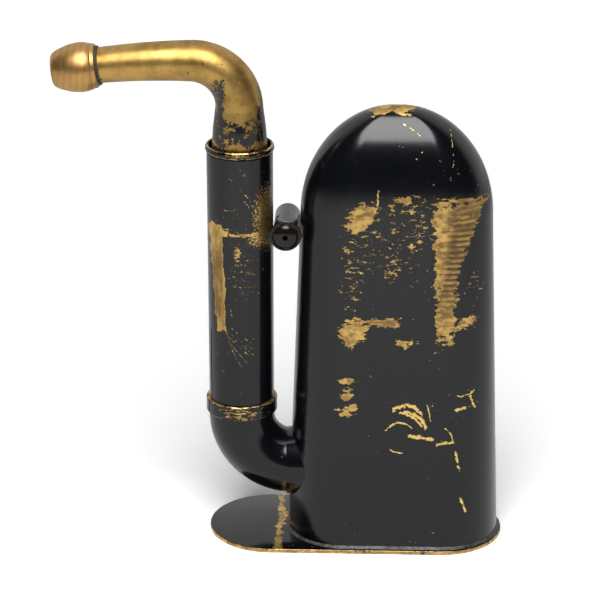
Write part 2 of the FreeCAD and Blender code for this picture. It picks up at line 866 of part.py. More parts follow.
TIP_FRAME = ("-" + ARM_END_X, ARM_END_Z, "0")
TIP_TURN = "90 + dims.ear_droop"
turned(
    "ear_nipple",
    "XZ_Plane",
    TIP_FRAME,
    [
        (NIPPLE_RADIUS + " - dims.nipple_thick", "-dims.nipple_inset"),
        (NIPPLE_RADIUS, "-dims.nipple_inset"),
        (NIPPLE_RADIUS, "dims.nipple_out"),
        (NIPPLE_RADIUS + " - dims.nipple_thick", "dims.nipple_out"),
    ],
    turn=TIP_TURN,
)
turned(
    "tip_packing",
    "XZ_Plane",
    TIP_FRAME,
    [
        (NIPPLE_RADIUS + " + dims.seat_gap", "dims.seat_gap"),
        ("dims.packing_radius", "dims.seat_gap"),
        ("dims.packing_radius", "dims.packing_width"),
        (NIPPLE_RADIUS + " + dims.seat_gap", "dims.packing_width"),
    ],
    turn=TIP_TURN,
)
TIP_RIM = "(dims.packing_width + 2 * dims.running_gap)"
TIP_BORE = NIPPLE_RADIUS + " + dims.running_gap"
turned(
    "ear_tip",
    "XZ_Plane",
    TIP_FRAME,
    [
        (TIP_BORE, TIP_RIM),
        ("dims.tip_rim_radius", TIP_RIM),
        ("dims.tip_radius", TIP_RIM + " + dims.tip_widest"),
        ("dims.tip_end_radius", TIP_RIM + " + dims.tip_length - 0.5"),
        ("dims.tip_end_radius - 0.8", TIP_RIM + " + dims.tip_length"),
        ("dims.tip_bore", TIP_RIM + " + dims.tip_length"),
        ("dims.tip_bore", TIP_RIM + " + dims.tip_socket"),
        (TIP_BORE, TIP_RIM + " + dims.tip_socket"),
    ],
    {1: ("dims.tip_back_arc", -1), 2: ("dims.tip_front_arc", -1)},
    turn=TIP_TURN,
)

# Vent cock beside the resonator: barrel, plug, knob, washer and screw

VENT_FRAME = (f"-{VENT_OFFSET}", "0", VENT_HEIGHT)
barrel = turned(
    "vent_barrel",
    "XY_Plane",
    VENT_FRAME,
    [
        (PLUG_BORE, "-dims.barrel_front"),
        ("dims.barrel_radius", "-dims.barrel_front"),
        ("dims.barrel_radius", "dims.barrel_rear"),
        (PLUG_BORE, "dims.barrel_rear"),
    ],
)
PARTS.remove(barrel)
barrel.Label = "vent_barrel_blank"
keep(cut("barrel_finished", barrel, vent_port), "vent_barrel")
plug = turned(
    "vent_plug",
    "XY_Plane",
    VENT_FRAME,
    [
        ("0", "-" + KNOB_BACK + " - dims.boss_length"),
        ("dims.boss_radius", "-" + KNOB_BACK + " - dims.boss_length"),
        ("dims.boss_radius", "-" + KNOB_BACK + " + dims.running_gap"),
        ("dims.plug_radius", "-" + KNOB_BACK + " + dims.running_gap"),
        ("dims.plug_radius", "dims.barrel_rear"),
        ("dims.screw_radius + dims.seat_gap", "dims.barrel_rear"),
        ("dims.screw_radius + dims.seat_gap", "dims.barrel_rear - dims.screw_grip - 0.5"),
        ("0", "dims.barrel_rear - dims.screw_grip - 0.5"),
    ],
)
PARTS.remove(plug)
plug.Label = "vent_plug_blank"
keep(cut("plug_finished", plug, vent_port), "vent_plug")
turned(
    "vent_knob",
    "XY_Plane",
    VENT_FRAME,
    [
        ("0", "-" + KNOB_BACK + " - dims.boss_length - 0.1"),
        ("dims.boss_radius + dims.seat_gap", "-" + KNOB_BACK + " - dims.boss_length - 0.1"),
        ("dims.boss_radius + dims.seat_gap", "-" + KNOB_BACK),
        ("dims.knob_radius", "-" + KNOB_BACK),
        ("dims.knob_radius", "-" + KNOB_BACK + " - dims.knob_edge"),
        ("dims.knob_hole", "-" + KNOB_BACK + " - dims.knob_rise"),
        ("dims.knob_hole", "-" + KNOB_BACK + " - dims.knob_rise + dims.knob_hole_depth"),
        ("0", "-" + KNOB_BACK + " - dims.knob_rise + dims.knob_hole_depth"),
    ],
    {4: ("dims.knob_radius * 1.25", 1)},
)
turned(
    "vent_washer",
    "XY_Plane",
    VENT_FRAME,
    [
        ("dims.screw_radius + dims.seat_gap", WASHER_FACE),
        ("dims.washer_radius", WASHER_FACE),
        ("dims.washer_radius", WASHER_FACE + " + dims.washer_thick"),
        ("dims.screw_radius + dims.seat_gap", WASHER_FACE + " + dims.washer_thick"),
    ],
)
SCREW_FACE = "(" + WASHER_FACE + " + dims.washer_thick)"
turned(
    "vent_screw",
    "XY_Plane",
    VENT_FRAME,
    [
        ("0", "dims.barrel_rear - dims.screw_grip"),
        ("dims.screw_radius", "dims.barrel_rear - dims.screw_grip"),
        ("dims.screw_radius", SCREW_FACE),
        ("dims.screw_head_radius", SCREW_FACE),
        ("dims.screw_head_radius", SCREW_FACE + " + dims.screw_head * 0.4"),
        ("dims.screw_radius", SCREW_FACE + " + dims.screw_head"),
        ("0", SCREW_FACE + " + dims.screw_head"),
    ],
    {4: ("dims.screw_head_radius", -1)},
)

# Solder saddle between the barrel and the wall

saddle_block = doc.addObject("Part::Box", "saddle_block")
bind(
    saddle_block,
    Length="dims.barrel_radius + 4",
    Width="2 * dims.saddle_half_length",
    Height="2 * dims.saddle_half_height",
    Placement__Base__x=f"-{VENT_OFFSET} + dims.barrel_radius / 2",
    Placement__Base__y="-dims.saddle_half_length",
    Placement__Base__z=f"{VENT_HEIGHT} - dims.saddle_half_height",
)
doc.recompute()
saddle_trimmed = cut("saddle_trimmed", saddle_block, wall_outer)
saddle_round = cylinder(
    "saddle_round",
    "dims.barrel_radius",
    "2 * dims.barrel_rear",
    (f"-{VENT_OFFSET}", "dims.barrel_rear", VENT_HEIGHT),
    Vector(1, 0, 0),
    "90",
)
saddle_open = cut("saddle_open", saddle_trimmed, saddle_round)
keep(cut("saddle_finished", saddle_open, vent_port), "vent_saddle")

# Check every sub-part, then write one file for each

doc.recompute()
os.makedirs("parts", exist_ok=True)
for item in PARTS:
    shape = item.Shape
    if "Invalid" in item.State or "Error" in item.State or shape.isNull() or not shape.isValid():
        raise RuntimeError(f"{item.Label}: {item.State}")
    if len(shape.Solids) != 1:
        raise RuntimeError(f"{item.Label}: {len(shape.Solids)} solids")
    shape.exportStep(f"parts/{item.Label}.step")
    box = shape.BoundBox
    print(
        f"{item.Label}: {shape.Volume:.1f} mm3,"
        f" x {box.XMin:.2f} to {box.XMax:.2f}, y {box.YMin:.2f} to {box.YMax:.2f},"
        f" z {box.ZMin:.2f} to {box.ZMax:.2f}"
    )
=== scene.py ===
"""Studio scene for a black japanned brass ear trumpet with a domed resonator."""

from __future__ import annotations

import logging
import math
from collections.abc import Sequence
from dataclasses import dataclass, field
from enum import Enum

import bpy
from mathutils import Matrix, Vector

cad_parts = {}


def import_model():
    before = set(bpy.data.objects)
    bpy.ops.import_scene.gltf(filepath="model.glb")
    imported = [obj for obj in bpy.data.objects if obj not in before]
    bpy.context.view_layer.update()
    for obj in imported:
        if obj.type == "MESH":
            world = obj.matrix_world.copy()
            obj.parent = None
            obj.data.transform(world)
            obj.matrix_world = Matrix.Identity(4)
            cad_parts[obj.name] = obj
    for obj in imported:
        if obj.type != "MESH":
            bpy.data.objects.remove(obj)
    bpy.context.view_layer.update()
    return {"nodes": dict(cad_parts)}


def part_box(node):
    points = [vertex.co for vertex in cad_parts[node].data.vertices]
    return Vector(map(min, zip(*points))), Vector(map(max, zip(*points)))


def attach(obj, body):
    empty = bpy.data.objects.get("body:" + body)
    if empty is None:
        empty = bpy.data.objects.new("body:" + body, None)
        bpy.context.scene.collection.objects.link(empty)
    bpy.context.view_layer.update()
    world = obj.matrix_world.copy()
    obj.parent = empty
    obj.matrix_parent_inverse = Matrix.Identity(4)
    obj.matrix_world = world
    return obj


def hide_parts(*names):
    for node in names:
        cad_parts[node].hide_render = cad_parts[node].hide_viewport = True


LOG = logging.getLogger("ear_trumpet")
MM = 0.001
Colour = tuple[float, float, float, float]
Nodes = dict[str, bpy.types.Object]

# Depth over which a rub on one face fades out, in millimetres
SIDE_FADE = 1.5
# Thickness of the japanning and of the patina's grain, in metres
SKIN = 0.00005
# Wear from which the japanning starts to dull, and wear at which it is dull all over
HAZE_STEP = (0.3, 0.5)
# Wear from which bare metal starts to show, and wear at which the black is gone
BARE_STEP = (0.475, 0.535)
STROKE_STEP = (0.46, 0.55)
DUST_STEP = (0.44, 0.56)
# Share of lacquer left on the ear tube, from none to all of it
KEPT_STEP = (0.47, 0.54)
LACQUER_IOR = 1.41
# A scratch fades out over this many widths, and near its ends
SCRATCH_SPREAD = 1.7
SCRATCH_ENDS = (1.15, 0.75)
# The narrowest that a flared rub gets, as a share of its width
LEAST_FLARE = 0.15
# Upright share of the normal where wear on a plate's rim starts and where it is full
RIM_TILT = (0.97, 0.6)
# Coarse flecks' share in the ragged edge of the wear; fine specks make up the rest
FLECK_SHARE = 0.75
# Edges that turn by more than this stay sharp when a piece is shaded
SHARP_EDGE = math.radians(35)
# Corners nearer than this are joined, and corners nearer the middle count as on it, in metres
WELD = 1e-6
OFF_MIDDLE = 1e-7

GOLD: Colour = (0.63, 0.42, 0.135, 1.0)
OLD_GOLD: Colour = (0.37, 0.225, 0.07, 1.0)
FRESH_GOLD: Colour = (0.77, 0.545, 0.175, 1.0)
RED_GOLD: Colour = (0.43, 0.235, 0.085, 1.0)
BROWN: Colour = (0.108, 0.068, 0.038, 1.0)
ARM_GOLD: Colour = (0.45, 0.283, 0.085, 1.0)
ARM_SHADE: Colour = (0.255, 0.147, 0.038, 1.0)
JAPAN_BLACK: Colour = (0.0021, 0.0025, 0.0036, 1.0)
HAZED_BLACK: Colour = (0.011, 0.008, 0.005, 1.0)


class Part(Enum):
    """The rigid bodies that the modelled pieces ride on."""

    RESONATOR = "resonator"
    EAR_TIP = "ear_tip"
    VENT = "vent_cock"


class Outline(Enum):
    """The outline of a rub mark."""

    ROUND = "round"
    SQUARE = "square"


class Side(Enum):
    """Which face of the object a rub mark is on."""

    FRONT = "front"
    BACK = "back"
    ALL = "all"

    def share(self, bench: Bench) -> object:
        """A socket that is 1 on this side of the object and 0 on the other."""
        reach = SIDE_FADE if self is Side.BACK else -SIDE_FADE
        return bench.ease(bench.depth, 0.0, reach)


class Bench:
    """A material's node tree with short calls for the nodes that the finishes share."""

    def __init__(self, name: str) -> None:
        """Makes an empty material.

        Args:
            name: the material's name.
        """
        self.material = bpy.data.materials.new(name)
        self.material.use_nodes = True
        self.tree = self.material.node_tree
        self.shader = self.tree.nodes["Principled BSDF"]
        coordinates = self.node("ShaderNodeTexCoord")
        scale = self.node("ShaderNodeVectorMath", operation="SCALE")
        scale.inputs["Scale"].default_value = 1.0 / MM
        self.tree.links.new(coordinates.outputs["Object"], scale.inputs[0])
        self.place = scale.outputs[0]
        split = self.node("ShaderNodeSeparateXYZ")
        self.tree.links.new(self.place, split.inputs[0])
        self.across, self.depth, self.height = split.outputs

    def node(self, kind: str, **settings: object) -> bpy.types.Node:
        """Adds a node.

        Args:
            kind: the node's type name.
            settings: attributes to set on it.

        Returns:
            The new node.
        """
        made = self.tree.nodes.new(kind)
        for key, value in settings.items():
            setattr(made, key, value)
        return made

    def feed(self, socket: bpy.types.NodeSocket, value: object) -> None:
        """Links a socket to an input, or sets the input to a constant.

        Args:
            socket: the input.
            value: a socket or a constant.
        """
        if isinstance(value, bpy.types.NodeSocket):
            self.tree.links.new(value, socket)
        else:
            socket.default_value = value

    def math(self, operation: str, first: object, second: object = 0.0) -> object:
        """One arithmetic step on numbers or sockets.

        Args:
            operation: the Math node's operation.
            first: its first number.
            second: its second number.

        Returns:
            The result's socket.
        """
        made = self.node("ShaderNodeMath", operation=operation)
        self.feed(made.inputs[0], first)
        self.feed(made.inputs[1], second)
        return made.outputs[0]

    def plus(self, first: object, second: object) -> object:
        """The sum of two numbers or sockets."""
        return self.math("ADD", first, second)

    def minus(self, first: object, second: object) -> object:
        """The first number or socket less the second."""
        return self.math("SUBTRACT", first, second)

    def times(self, first: object, second: object) -> object:
        """The product of two numbers or sockets."""
        return self.math("MULTIPLY", first, second)

    def most(self, first: object, second: object) -> object:
        """The greater of two numbers or sockets."""
        return self.math("MAXIMUM", first, second)

    def ease(
        self,
        value: object,
        start: float,
        stop: float,
        low: float = 0.0,
        high: float = 1.0,
    ) -> object:
        """Maps a number smoothly from one span to another.

        Args:
            value: the number.
            start: where the span starts.
            stop: where it stops.
            low: the result at the start.
            high: the result at the stop.

        Returns:
            The result's socket.
        """
        made = self.node("ShaderNodeMapRange", interpolation_type="SMOOTHSTEP")
        self.feed(made.inputs["Value"], value)
        made.inputs["From Min"].default_value = start
        made.inputs["From Max"].default_value = stop
        made.inputs["To Min"].default_value = low
        made.inputs["To Max"].default_value = high
        return made.outputs[0]

    def noise(
        self,
        pitch: tuple[float, float, float],
        detail: float = 6.0,
        rough: float = 0.6,
        shift: float = 0.0,
    ) -> object:
        """Cloudy noise whose lumps have a size along each axis.

        Args:
            pitch: the size of a lump along X, Y and Z, in millimetres.
            detail: how many finer layers it has.
            rough: how strong the finer layers are.
            shift: an offset that makes this noise differ from others.

        Returns:
            The noise's socket, from 0 to 1.
        """
        mapping = self.node("ShaderNodeMapping")
        mapping.inputs["Scale"].default_value = tuple(1.0 / size for size in pitch)
        mapping.inputs["Location"].default_value = (shift, shift * 0.7, shift * 1.3)
        self.feed(mapping.inputs["Vector"], self.place)
        made = self.node("ShaderNodeTexNoise")
        self.feed(made.inputs["Vector"], mapping.outputs[0])
        made.inputs["Scale"].default_value = 1.0
        made.inputs["Detail"].default_value = detail
        made.inputs["Roughness"].default_value = rough
        return made.outputs["Fac"]

    def waves(
        self,
        axis: str,
        scale: float,
        distortion: float,
        detail: float,
        detail_scale: float,
        place: bpy.types.NodeSocket | None = None,
    ) -> object:
        """Wavy bands across an axis.

        Args:
            axis: the axis that the bands follow each other along.
            scale: how close the bands are.
            distortion: how far they waver.
            detail: how many finer layers the wavering has.
            detail_scale: how fine it is.
            place: the coordinates, or none for the object's own.

        Returns:
            The bands' socket, from 0 to 1.
        """
        made = self.node("ShaderNodeTexWave", bands_direction=axis)
        self.feed(made.inputs["Vector"], self.place if place is None else place)
        made.inputs["Scale"].default_value = scale
        made.inputs["Distortion"].default_value = distortion
        made.inputs["Detail"].default_value = detail
        made.inputs["Detail Scale"].default_value = detail_scale
        return made.outputs["Fac"]

    def mix(self, share: object, first: object, second: object) -> object:
        """Blends two colours.

        Args:
            share: how much of the second colour shows.
            first: the first colour.
            second: the second colour.

        Returns:
            The blended colour's socket.
        """
        made = self.node("ShaderNodeMix", data_type="RGBA")
        self.feed(made.inputs[0], share)
        self.feed(made.inputs[6], first)
        self.feed(made.inputs[7], second)
        return made.outputs[2]

    def relief(self, height: object, depth: float, strength: float = 1.0) -> object:
        """Turns a height into a surface normal.

        Args:
            height: the height's socket, from 0 to 1.
            depth: how deep a height of 1 is, in metres.
            strength: how much of it shows.

        Returns:
            The normal's socket.
        """
        made = self.node("ShaderNodeBump")
        made.inputs["Distance"].default_value = depth
        made.inputs["Strength"].default_value = strength
        self.feed(made.inputs["Height"], height)
        return made.outputs[0]

    def finish(self, **inputs: object) -> bpy.types.Material:
        """Sets the shader's inputs, named with underscores for spaces.

        Args:
            inputs: a constant or a socket for each input.

        Returns:
            The finished material.
        """
        for name, value in inputs.items():
            self.feed(self.shader.inputs[name.replace("_", " ")], value)
        return self.material

    def centred(self, noise: object, strength: float) -> object:
        """Moves a noise about zero and scales it.

        Args:
            noise: the noise's socket, from 0 to 1.
            strength: the span of the result.

        Returns:
            The result's socket.
        """
        return self.times(self.minus(noise, 0.5), strength)


@dataclass(frozen=True)
class Rub:
    """A place where handling wore the japanning: its middle, half size and how far it is worn."""

    across: float
    height: float
    half_width: float
    half_height: float
    worn: float
    flare: float = 0.0
    lean: float = 0.0
    side: Side = Side.FRONT
    outline: Outline = Outline.ROUND
    fade: tuple[float, float] = (1.7, 0.35)

    def pressure(self, bench: Bench, across: object, height: object) -> object:
        """How strongly this rub wears each point.

        Args:
            bench: the material's bench.
            across: the point's ragged X in millimetres.
            height: the point's ragged Z in millimetres.

        Returns:
            A socket from 0 to the rub's own strength.
        """
        rise = bench.minus(height, self.height)
        rise = bench.times(rise, 1 / self.half_height)
        run = bench.minus(across, self.across)
        if self.lean:
            run = bench.minus(run, bench.times(rise, self.lean))
        run = bench.times(run, 1 / self.half_width)
        if self.flare:
            width = bench.plus(bench.times(rise, self.flare), 1.0)
            run = bench.math("DIVIDE", run, bench.most(width, LEAST_FLARE))
        if self.outline is Outline.ROUND:
            squares = bench.plus(
                bench.math("POWER", bench.math("ABSOLUTE", run), 2.0),
                bench.math("POWER", bench.math("ABSOLUTE", rise), 2.0),
            )
            reach = bench.math("SQRT", squares)
        else:
            reach = bench.most(bench.math("ABSOLUTE", run), bench.math("ABSOLUTE", rise))
        inside = bench.ease(reach, *self.fade, 0.0, self.worn)
        if self.side is Side.ALL:
            return inside
        return bench.times(inside, self.side.share(bench))


@dataclass(frozen=True)
class Scratch:
    """A thin bowed line scraped through the japanning on the front, from one point to another."""

    start: tuple[float, float]
    stop: tuple[float, float]
    width: float = 0.4
    bow: float = 0.0
    cut: float = 0.7

    def pressure(self, bench: Bench, across: object, height: object) -> object:
        """How strongly the scratch cuts each point.

        Args:
            bench: the material's bench.
            across: the point's X in millimetres.
            height: the point's Z in millimetres.

        Returns:
            A socket from 0 to 1.
        """
        run, rise = self.stop[0] - self.start[0], self.stop[1] - self.start[1]
        length = math.hypot(run, rise)
        from_x = bench.minus(across, self.start[0])
        from_z = bench.minus(height, self.start[1])
        along = bench.plus(
            bench.times(from_x, run / length**2),
            bench.times(from_z, rise / length**2),
        )
        aside = bench.minus(bench.times(from_z, run / length), bench.times(from_x, rise / length))
        middle = bench.minus(bench.times(along, 2.0), 1.0)
        square = bench.times(middle, middle)
        if self.bow:
            arch = bench.times(bench.minus(1.0, square), self.bow)
            aside = bench.minus(aside, arch)
        aside = bench.math("ABSOLUTE", aside)
        line = bench.ease(aside, self.width * SCRATCH_SPREAD, 0.0, 0.0, self.cut)
        ends = bench.ease(square, *SCRATCH_ENDS)
        return bench.times(bench.times(line, ends), Side.FRONT.share(bench))


@dataclass(frozen=True)
class Japanning:
    """Glossy black japanning on brass, worn through where hands and edges rubbed it."""

    name: str
    rubs: tuple[Rub, ...] = ()
    dust: tuple[Rub, ...] = ()
    scratches: tuple[Scratch, ...] = ()
    # Rubs that turn the bared brass brown: tarnish on the resonator; tarnish and painted shade on the
    # sleeve's right flank
    tarnish: tuple[Rub, ...] = ()
    all_over: float = 0.12
    fleck: tuple[float, float, float] = (3.0, 3.0, 1.35)
    spread: float = 2.3
    wander: float = 9.0
    ripple: float = 0.0
    gloss: float = 0.16
    edge_wear: float = 0.0
    tone: tuple[float, float, float] = (4.0, 4.0, 2.2)

    def pressure(self, bench: Bench) -> object:
        """The wear that all rubs add up to.

        Args:
            bench: the material's bench.

        Returns:
            A socket from 0, untouched, to 1, bare.
        """
        drift = bench.noise((6.0, 6.0, 4.0), detail=4.0, rough=0.62, shift=3.1)
        across = bench.plus(bench.across, bench.centred(drift, self.wander))
        height = bench.plus(bench.height, bench.centred(drift, self.wander * 0.8))
        total: object = self.all_over
        for rub in self.rubs:
            total = bench.most(total, rub.pressure(bench, across, height))
        if self.edge_wear:
            geometry = bench.node("ShaderNodeNewGeometry")
            split = bench.node("ShaderNodeSeparateXYZ")
            bench.feed(split.inputs[0], geometry.outputs["Normal"])
            tilt = bench.math("ABSOLUTE", split.outputs[2])
            rim = bench.ease(tilt, *RIM_TILT, 0.0, self.edge_wear)
            total = bench.most(total, rim)
        return total

    def strokes(self, bench: Bench) -> object:
        """The scratches, broken up along their length.

        Args:
            bench: the material's bench.

        Returns:
            A socket from 0 to 1.
        """
        crumbs = bench.noise((1.5, 1.5, 0.95), detail=6.0, rough=0.68, shift=73.0)
        wave = bench.noise((2.2, 2.2, 2.2), detail=5.0, rough=0.68, shift=17.0)
        across = bench.plus(bench.across, bench.centred(wave, 2.0))
        height = bench.plus(bench.height, bench.centred(wave, -2.0))
        total: object = 0.0
        for scratch in self.scratches:
            total = bench.most(total, scratch.pressure(bench, across, height))
        return bench.ease(bench.plus(total, bench.centred(crumbs, 2.3)), *STROKE_STEP)

    @staticmethod
    def strongest(bench: Bench, rubs: tuple[Rub, ...]) -> object:
        """The strongest of several smooth rubs at each point.

        Args:
            bench: the material's bench.
            rubs: the rubs.

        Returns:
            A socket from 0 to 1.
        """
        total: object = 0.0
        for rub in rubs:
            total = bench.most(total, rub.pressure(bench, bench.across, bench.height))
        return total

    def dusting(self, bench: Bench) -> object:
        """Hazy rubs that show as a fine gold dust.

        Args:
            bench: the material's bench.

        Returns:
            A socket from 0 to 1.
        """
        grain = bench.noise((0.75, 0.75, 0.6), detail=4.0, rough=0.7, shift=61.0)
        total = self.strongest(bench, self.dust)
        return bench.ease(bench.plus(total, bench.centred(grain, 1.5)), *DUST_STEP)

    def bared_metal(self, bench: Bench, worn: object) -> object:
        """The colour of the brass that shows, brown where it tarnished, and on the sleeve's right flank
        brown also as painted shade.

        Args:
            bench: the material's bench.
            worn: how far each point is worn.

        Returns:
            The colour's socket.
        """
        tone = bench.noise(self.tone, detail=5.0, rough=0.62, shift=21.0)
        metal = bench.mix(bench.ease(tone, 0.36, 0.62), OLD_GOLD, GOLD)
        browned = bench.ease(tone, 0.66, 0.38, 0.0, 0.6)
        deep = bench.times(bench.ease(worn, 0.6, 1.0), browned)
        metal = bench.mix(deep, metal, BROWN)
        if self.tarnish:
            waves = bench.waves("Z", self.ripple, distortion=1.2, detail=2.0, detail_scale=0.25)
            lines = bench.ease(waves, 0.3, 0.8, 0.4, 1.0)
            # Tarnish rubs: real tarnish, and on the sleeve also painted shade that darkens its right
            # flank
            stain_and_painted_shade = self.strongest(bench, self.tarnish)
            metal = bench.mix(bench.times(lines, stain_and_painted_shade), metal, BROWN)
        return metal

    def material(self) -> bpy.types.Material:
        """Builds the finish.

        Returns:
            The material.
        """
        bench = Bench(self.name)
        flecks = bench.noise(self.fleck, detail=7.0, rough=0.66, shift=11.7)
        specks = bench.noise((0.9, 0.9, 0.6), detail=3.0, rough=0.6, shift=5.3)
        ragged = bench.plus(
            bench.times(flecks, FLECK_SHARE),
            bench.times(specks, 1.0 - FLECK_SHARE),
        )
        worn = bench.plus(self.pressure(bench), bench.centred(ragged, self.spread))
        bare = bench.ease(worn, *BARE_STEP)
        haze = bench.ease(worn, *HAZE_STEP)
        metal = self.bared_metal(bench, worn)
        if self.scratches:
            strokes = self.strokes(bench)
            bare = bench.most(bare, strokes)
            metal = bench.mix(strokes, metal, FRESH_GOLD)
        if self.dust:
            bare = bench.most(bare, self.dusting(bench))
        lacquer = bench.mix(bench.times(haze, 0.45), JAPAN_BLACK, HAZED_BLACK)
        cloud = bench.noise((9.0, 9.0, 9.0), detail=4.0, rough=0.55, shift=40.0)
        dull = bench.plus(bench.times(cloud, 0.12), self.gloss - 0.06)
        rough = bench.plus(dull, bench.times(bare, 0.26))
        ground = bench.minus(bench.times(specks, 0.1), bare)
        return bench.finish(
            Base_Color=bench.mix(bare, lacquer, metal),
            Metallic=bare,
            Roughness=rough,
            IOR=LACQUER_IOR,
            Normal=bench.relief(ground, SKIN, 0.5),
        )


@dataclass(frozen=True)
class BareBrass:
    """Handled brass with patina, plain or with turned rings."""

    name: str
    pale: Colour = GOLD
    dark: Colour = OLD_GOLD
    turned: float = 0.0
    tilt: float = 0.0
    tarnish: float = 0.5
    dull: float = 0.36

    def rings(self, bench: Bench) -> object:
        """Faint rings round the lathe's axis.

        Args:
            bench: the material's bench.

        Returns:
            A socket from 0 to 1.
        """
        mapping = bench.node("ShaderNodeMapping")
        mapping.inputs["Rotation"].default_value = (0.0, math.radians(self.tilt), 0.0)
        bench.feed(mapping.inputs["Vector"], bench.place)
        return bench.waves(
            "X", self.turned, distortion=1.5, detail=4.0, detail_scale=2.0, place=mapping.outputs[0]
        )

    def stain(self, bench: Bench) -> object:
        """The metal's colour with its patina.

        Args:
            bench: the material's bench.

        Returns:
            The colour's socket.
        """
        patches = bench.noise((9.0, 9.0, 9.0), detail=6.0, rough=0.62, shift=2.0)
        spots = bench.noise((1.1, 1.1, 1.1), detail=4.0, rough=0.7, shift=8.0)
        metal = bench.mix(bench.ease(patches, 0.34, 0.66), self.dark, self.pale)
        pits = bench.times(bench.ease(spots, 0.6, 0.72), self.tarnish)
        return bench.mix(pits, metal, BROWN)

    def kept_black(self, bench: Bench) -> object | None:
        """Where japanning is left: none on plain brass."""
        return None

    def material(self) -> bpy.types.Material:
        """Builds the finish.

        Returns:
            The material.
        """
        bench = Bench(self.name)
        grain = bench.noise((1.6, 1.6, 1.6), detail=5.0, rough=0.65, shift=19.0)
        colour = self.stain(bench)
        height: object = bench.times(grain, 0.2)
        if self.turned:
            rings = self.rings(bench)
            height = bench.plus(height, bench.times(rings, 0.12))
            colour = bench.mix(bench.ease(rings, 0.5, 0.0, 0.0, 0.2), colour, BROWN)
        rough: object = bench.plus(bench.times(grain, 0.14), self.dull - 0.07)
        metallic: object = 1.0
        black = self.kept_black(bench)
        if black is not None:
            colour = bench.mix(black, colour, JAPAN_BLACK)
            metallic = bench.minus(1.0, black)
            rough = bench.minus(rough, bench.times(black, 0.18))
            height = bench.plus(height, bench.times(black, 0.8))
        return bench.finish(
            Base_Color=colour,
            Metallic=metallic,
            Roughness=rough,
            Normal=bench.relief(height, SKIN, 0.5),
        )


@dataclass(frozen=True)
class StemBrass(BareBrass):
    """The ear tube's brass, which keeps its japanning low down and on its two flanks."""

    black_top: float = 173.5
    mouth: float = 162.6
    left_flank: float = -65.5
    right_flank: float = -53.2

    def kept_black(self, bench: Bench) -> object | None:
        """Where japanning is left on the stem.

        Args:
            bench: the material's bench.

        Returns:
            A socket from 0, bare, to 1, black.
        """
        flecks = bench.noise((3.8, 3.8, 3.4), detail=7.0, rough=0.7, shift=31.0)
        crumbs = bench.noise((1.1, 1.1, 0.9), detail=5.0, rough=0.72, shift=47.0)
        ragged = bench.plus(bench.centred(flecks, 3.4), bench.centred(crumbs, 1.5))
        low = bench.ease(bench.height, self.black_top + 6.0, self.black_top - 6.5, 0.0, 0.8)
        mouth = bench.ease(bench.height, self.mouth - 0.4, self.mouth + 2.6, 0.42, 1.0)
        left = bench.times(
            bench.ease(bench.across, self.left_flank + 2.0, self.left_flank - 1.5, 0.0, 0.85),
            bench.ease(bench.height, self.black_top + 17.0, self.black_top + 8.0),
        )
        on_stem = bench.ease(bench.across, self.left_flank - 9.0, self.left_flank - 5.5)
        left = bench.times(left, on_stem)
        right = bench.times(
            bench.ease(bench.across, self.right_flank - 1.5, self.right_flank + 2.0, 0.0, 0.85),
            bench.ease(bench.height, self.black_top + 20.0, self.black_top + 10.0),
        )
        flanks = bench.most(left, right)
        kept = bench.times(bench.most(low, flanks), mouth)
        return bench.ease(bench.plus(kept, ragged), *KEPT_STEP)


@dataclass(frozen=True)
class Plain:
    """A plain dull finish with a little mottling, for solder and packing."""

    name: str
    light: Colour
    dark: Colour
    metallic: float
    roughness: float
    lump: float = 2.0

    def material(self) -> bpy.types.Material:
        """Builds the finish.

        Returns:
            The material.
        """
        bench = Bench(self.name)
        mottle = bench.noise((self.lump,) * 3, detail=6.0, rough=0.65, shift=14.0)
        rough = bench.plus(bench.times(mottle, 0.2), self.roughness - 0.1)
        return bench.finish(
            Base_Color=bench.mix(bench.ease(mottle, 0.35, 0.65), self.dark, self.light),
            Metallic=self.metallic,
            Roughness=rough,
            Normal=bench.relief(mottle, 0.0001, 0.6),
        )


@dataclass(frozen=True)
class KnobHorn:
    """Polished dark horn, rubbed brown along the edge of the knob's dome."""

    name: str
    across: float
    height: float
    edge: float = 4.95
    dark: Colour = (0.003, 0.0026, 0.0026, 1.0)
    light: Colour = (0.010, 0.006, 0.004, 1.0)
    rubbed: Colour = (0.06, 0.024, 0.01, 1.0)
    shine: float = 1.36

    def material(self) -> bpy.types.Material:
        """Builds the finish.

        Returns:
            The material.
        """
        bench = Bench(self.name)
        mottle = bench.noise((1.6, 1.6, 1.6), detail=6.0, rough=0.65, shift=14.0)
        run = bench.minus(bench.across, self.across)
        rise = bench.minus(bench.height, self.height)
        squares = bench.plus(bench.times(run, run), bench.times(rise, rise))
        away = bench.math("ABSOLUTE", bench.minus(bench.math("SQRT", squares), self.edge))
        near_edge = bench.ease(away, 0.3, 0.08, 0.0, 0.8)
        worn = bench.times(near_edge, bench.ease(mottle, 0.36, 0.56))
        horn = bench.mix(bench.ease(mottle, 0.35, 0.65), self.dark, self.light)
        return bench.finish(
            Base_Color=bench.mix(worn, horn, self.rubbed),
            Roughness=bench.plus(bench.times(mottle, 0.14), 0.08),
            IOR=self.shine,
            Normal=bench.relief(mottle, 0.00006, 0.4),
        )


def dress(nodes: Nodes, finish: bpy.types.Material, names: Sequence[str]) -> None:
    """Gives CAD nodes a finish.

    Args:
        nodes: the CAD nodes by name.
        finish: the material.
        names: which nodes take it.
    """
    for name in names:
        piece = nodes[name]
        piece.data.materials.clear()
        piece.data.materials.append(finish)
        LOG.info("dressed %s with %s", name, finish.name)


def start_piece(name: str) -> bpy.types.Object:
    """Names the primitive that was just added and returns it.

    Args:
        name: the piece's name.

    Returns:
        The active object.
    """
    piece = bpy.context.object
    piece.name = name
    piece.data.name = name
    return piece


def pick(*pieces: bpy.types.Object) -> None:
    """Selects pieces alone and makes the first one active.

    Args:
        pieces: the pieces.
    """
    bpy.ops.object.select_all(action="DESELECT")
    for piece in pieces:
        piece.select_set(True)
    bpy.context.view_layer.objects.active = pieces[0]


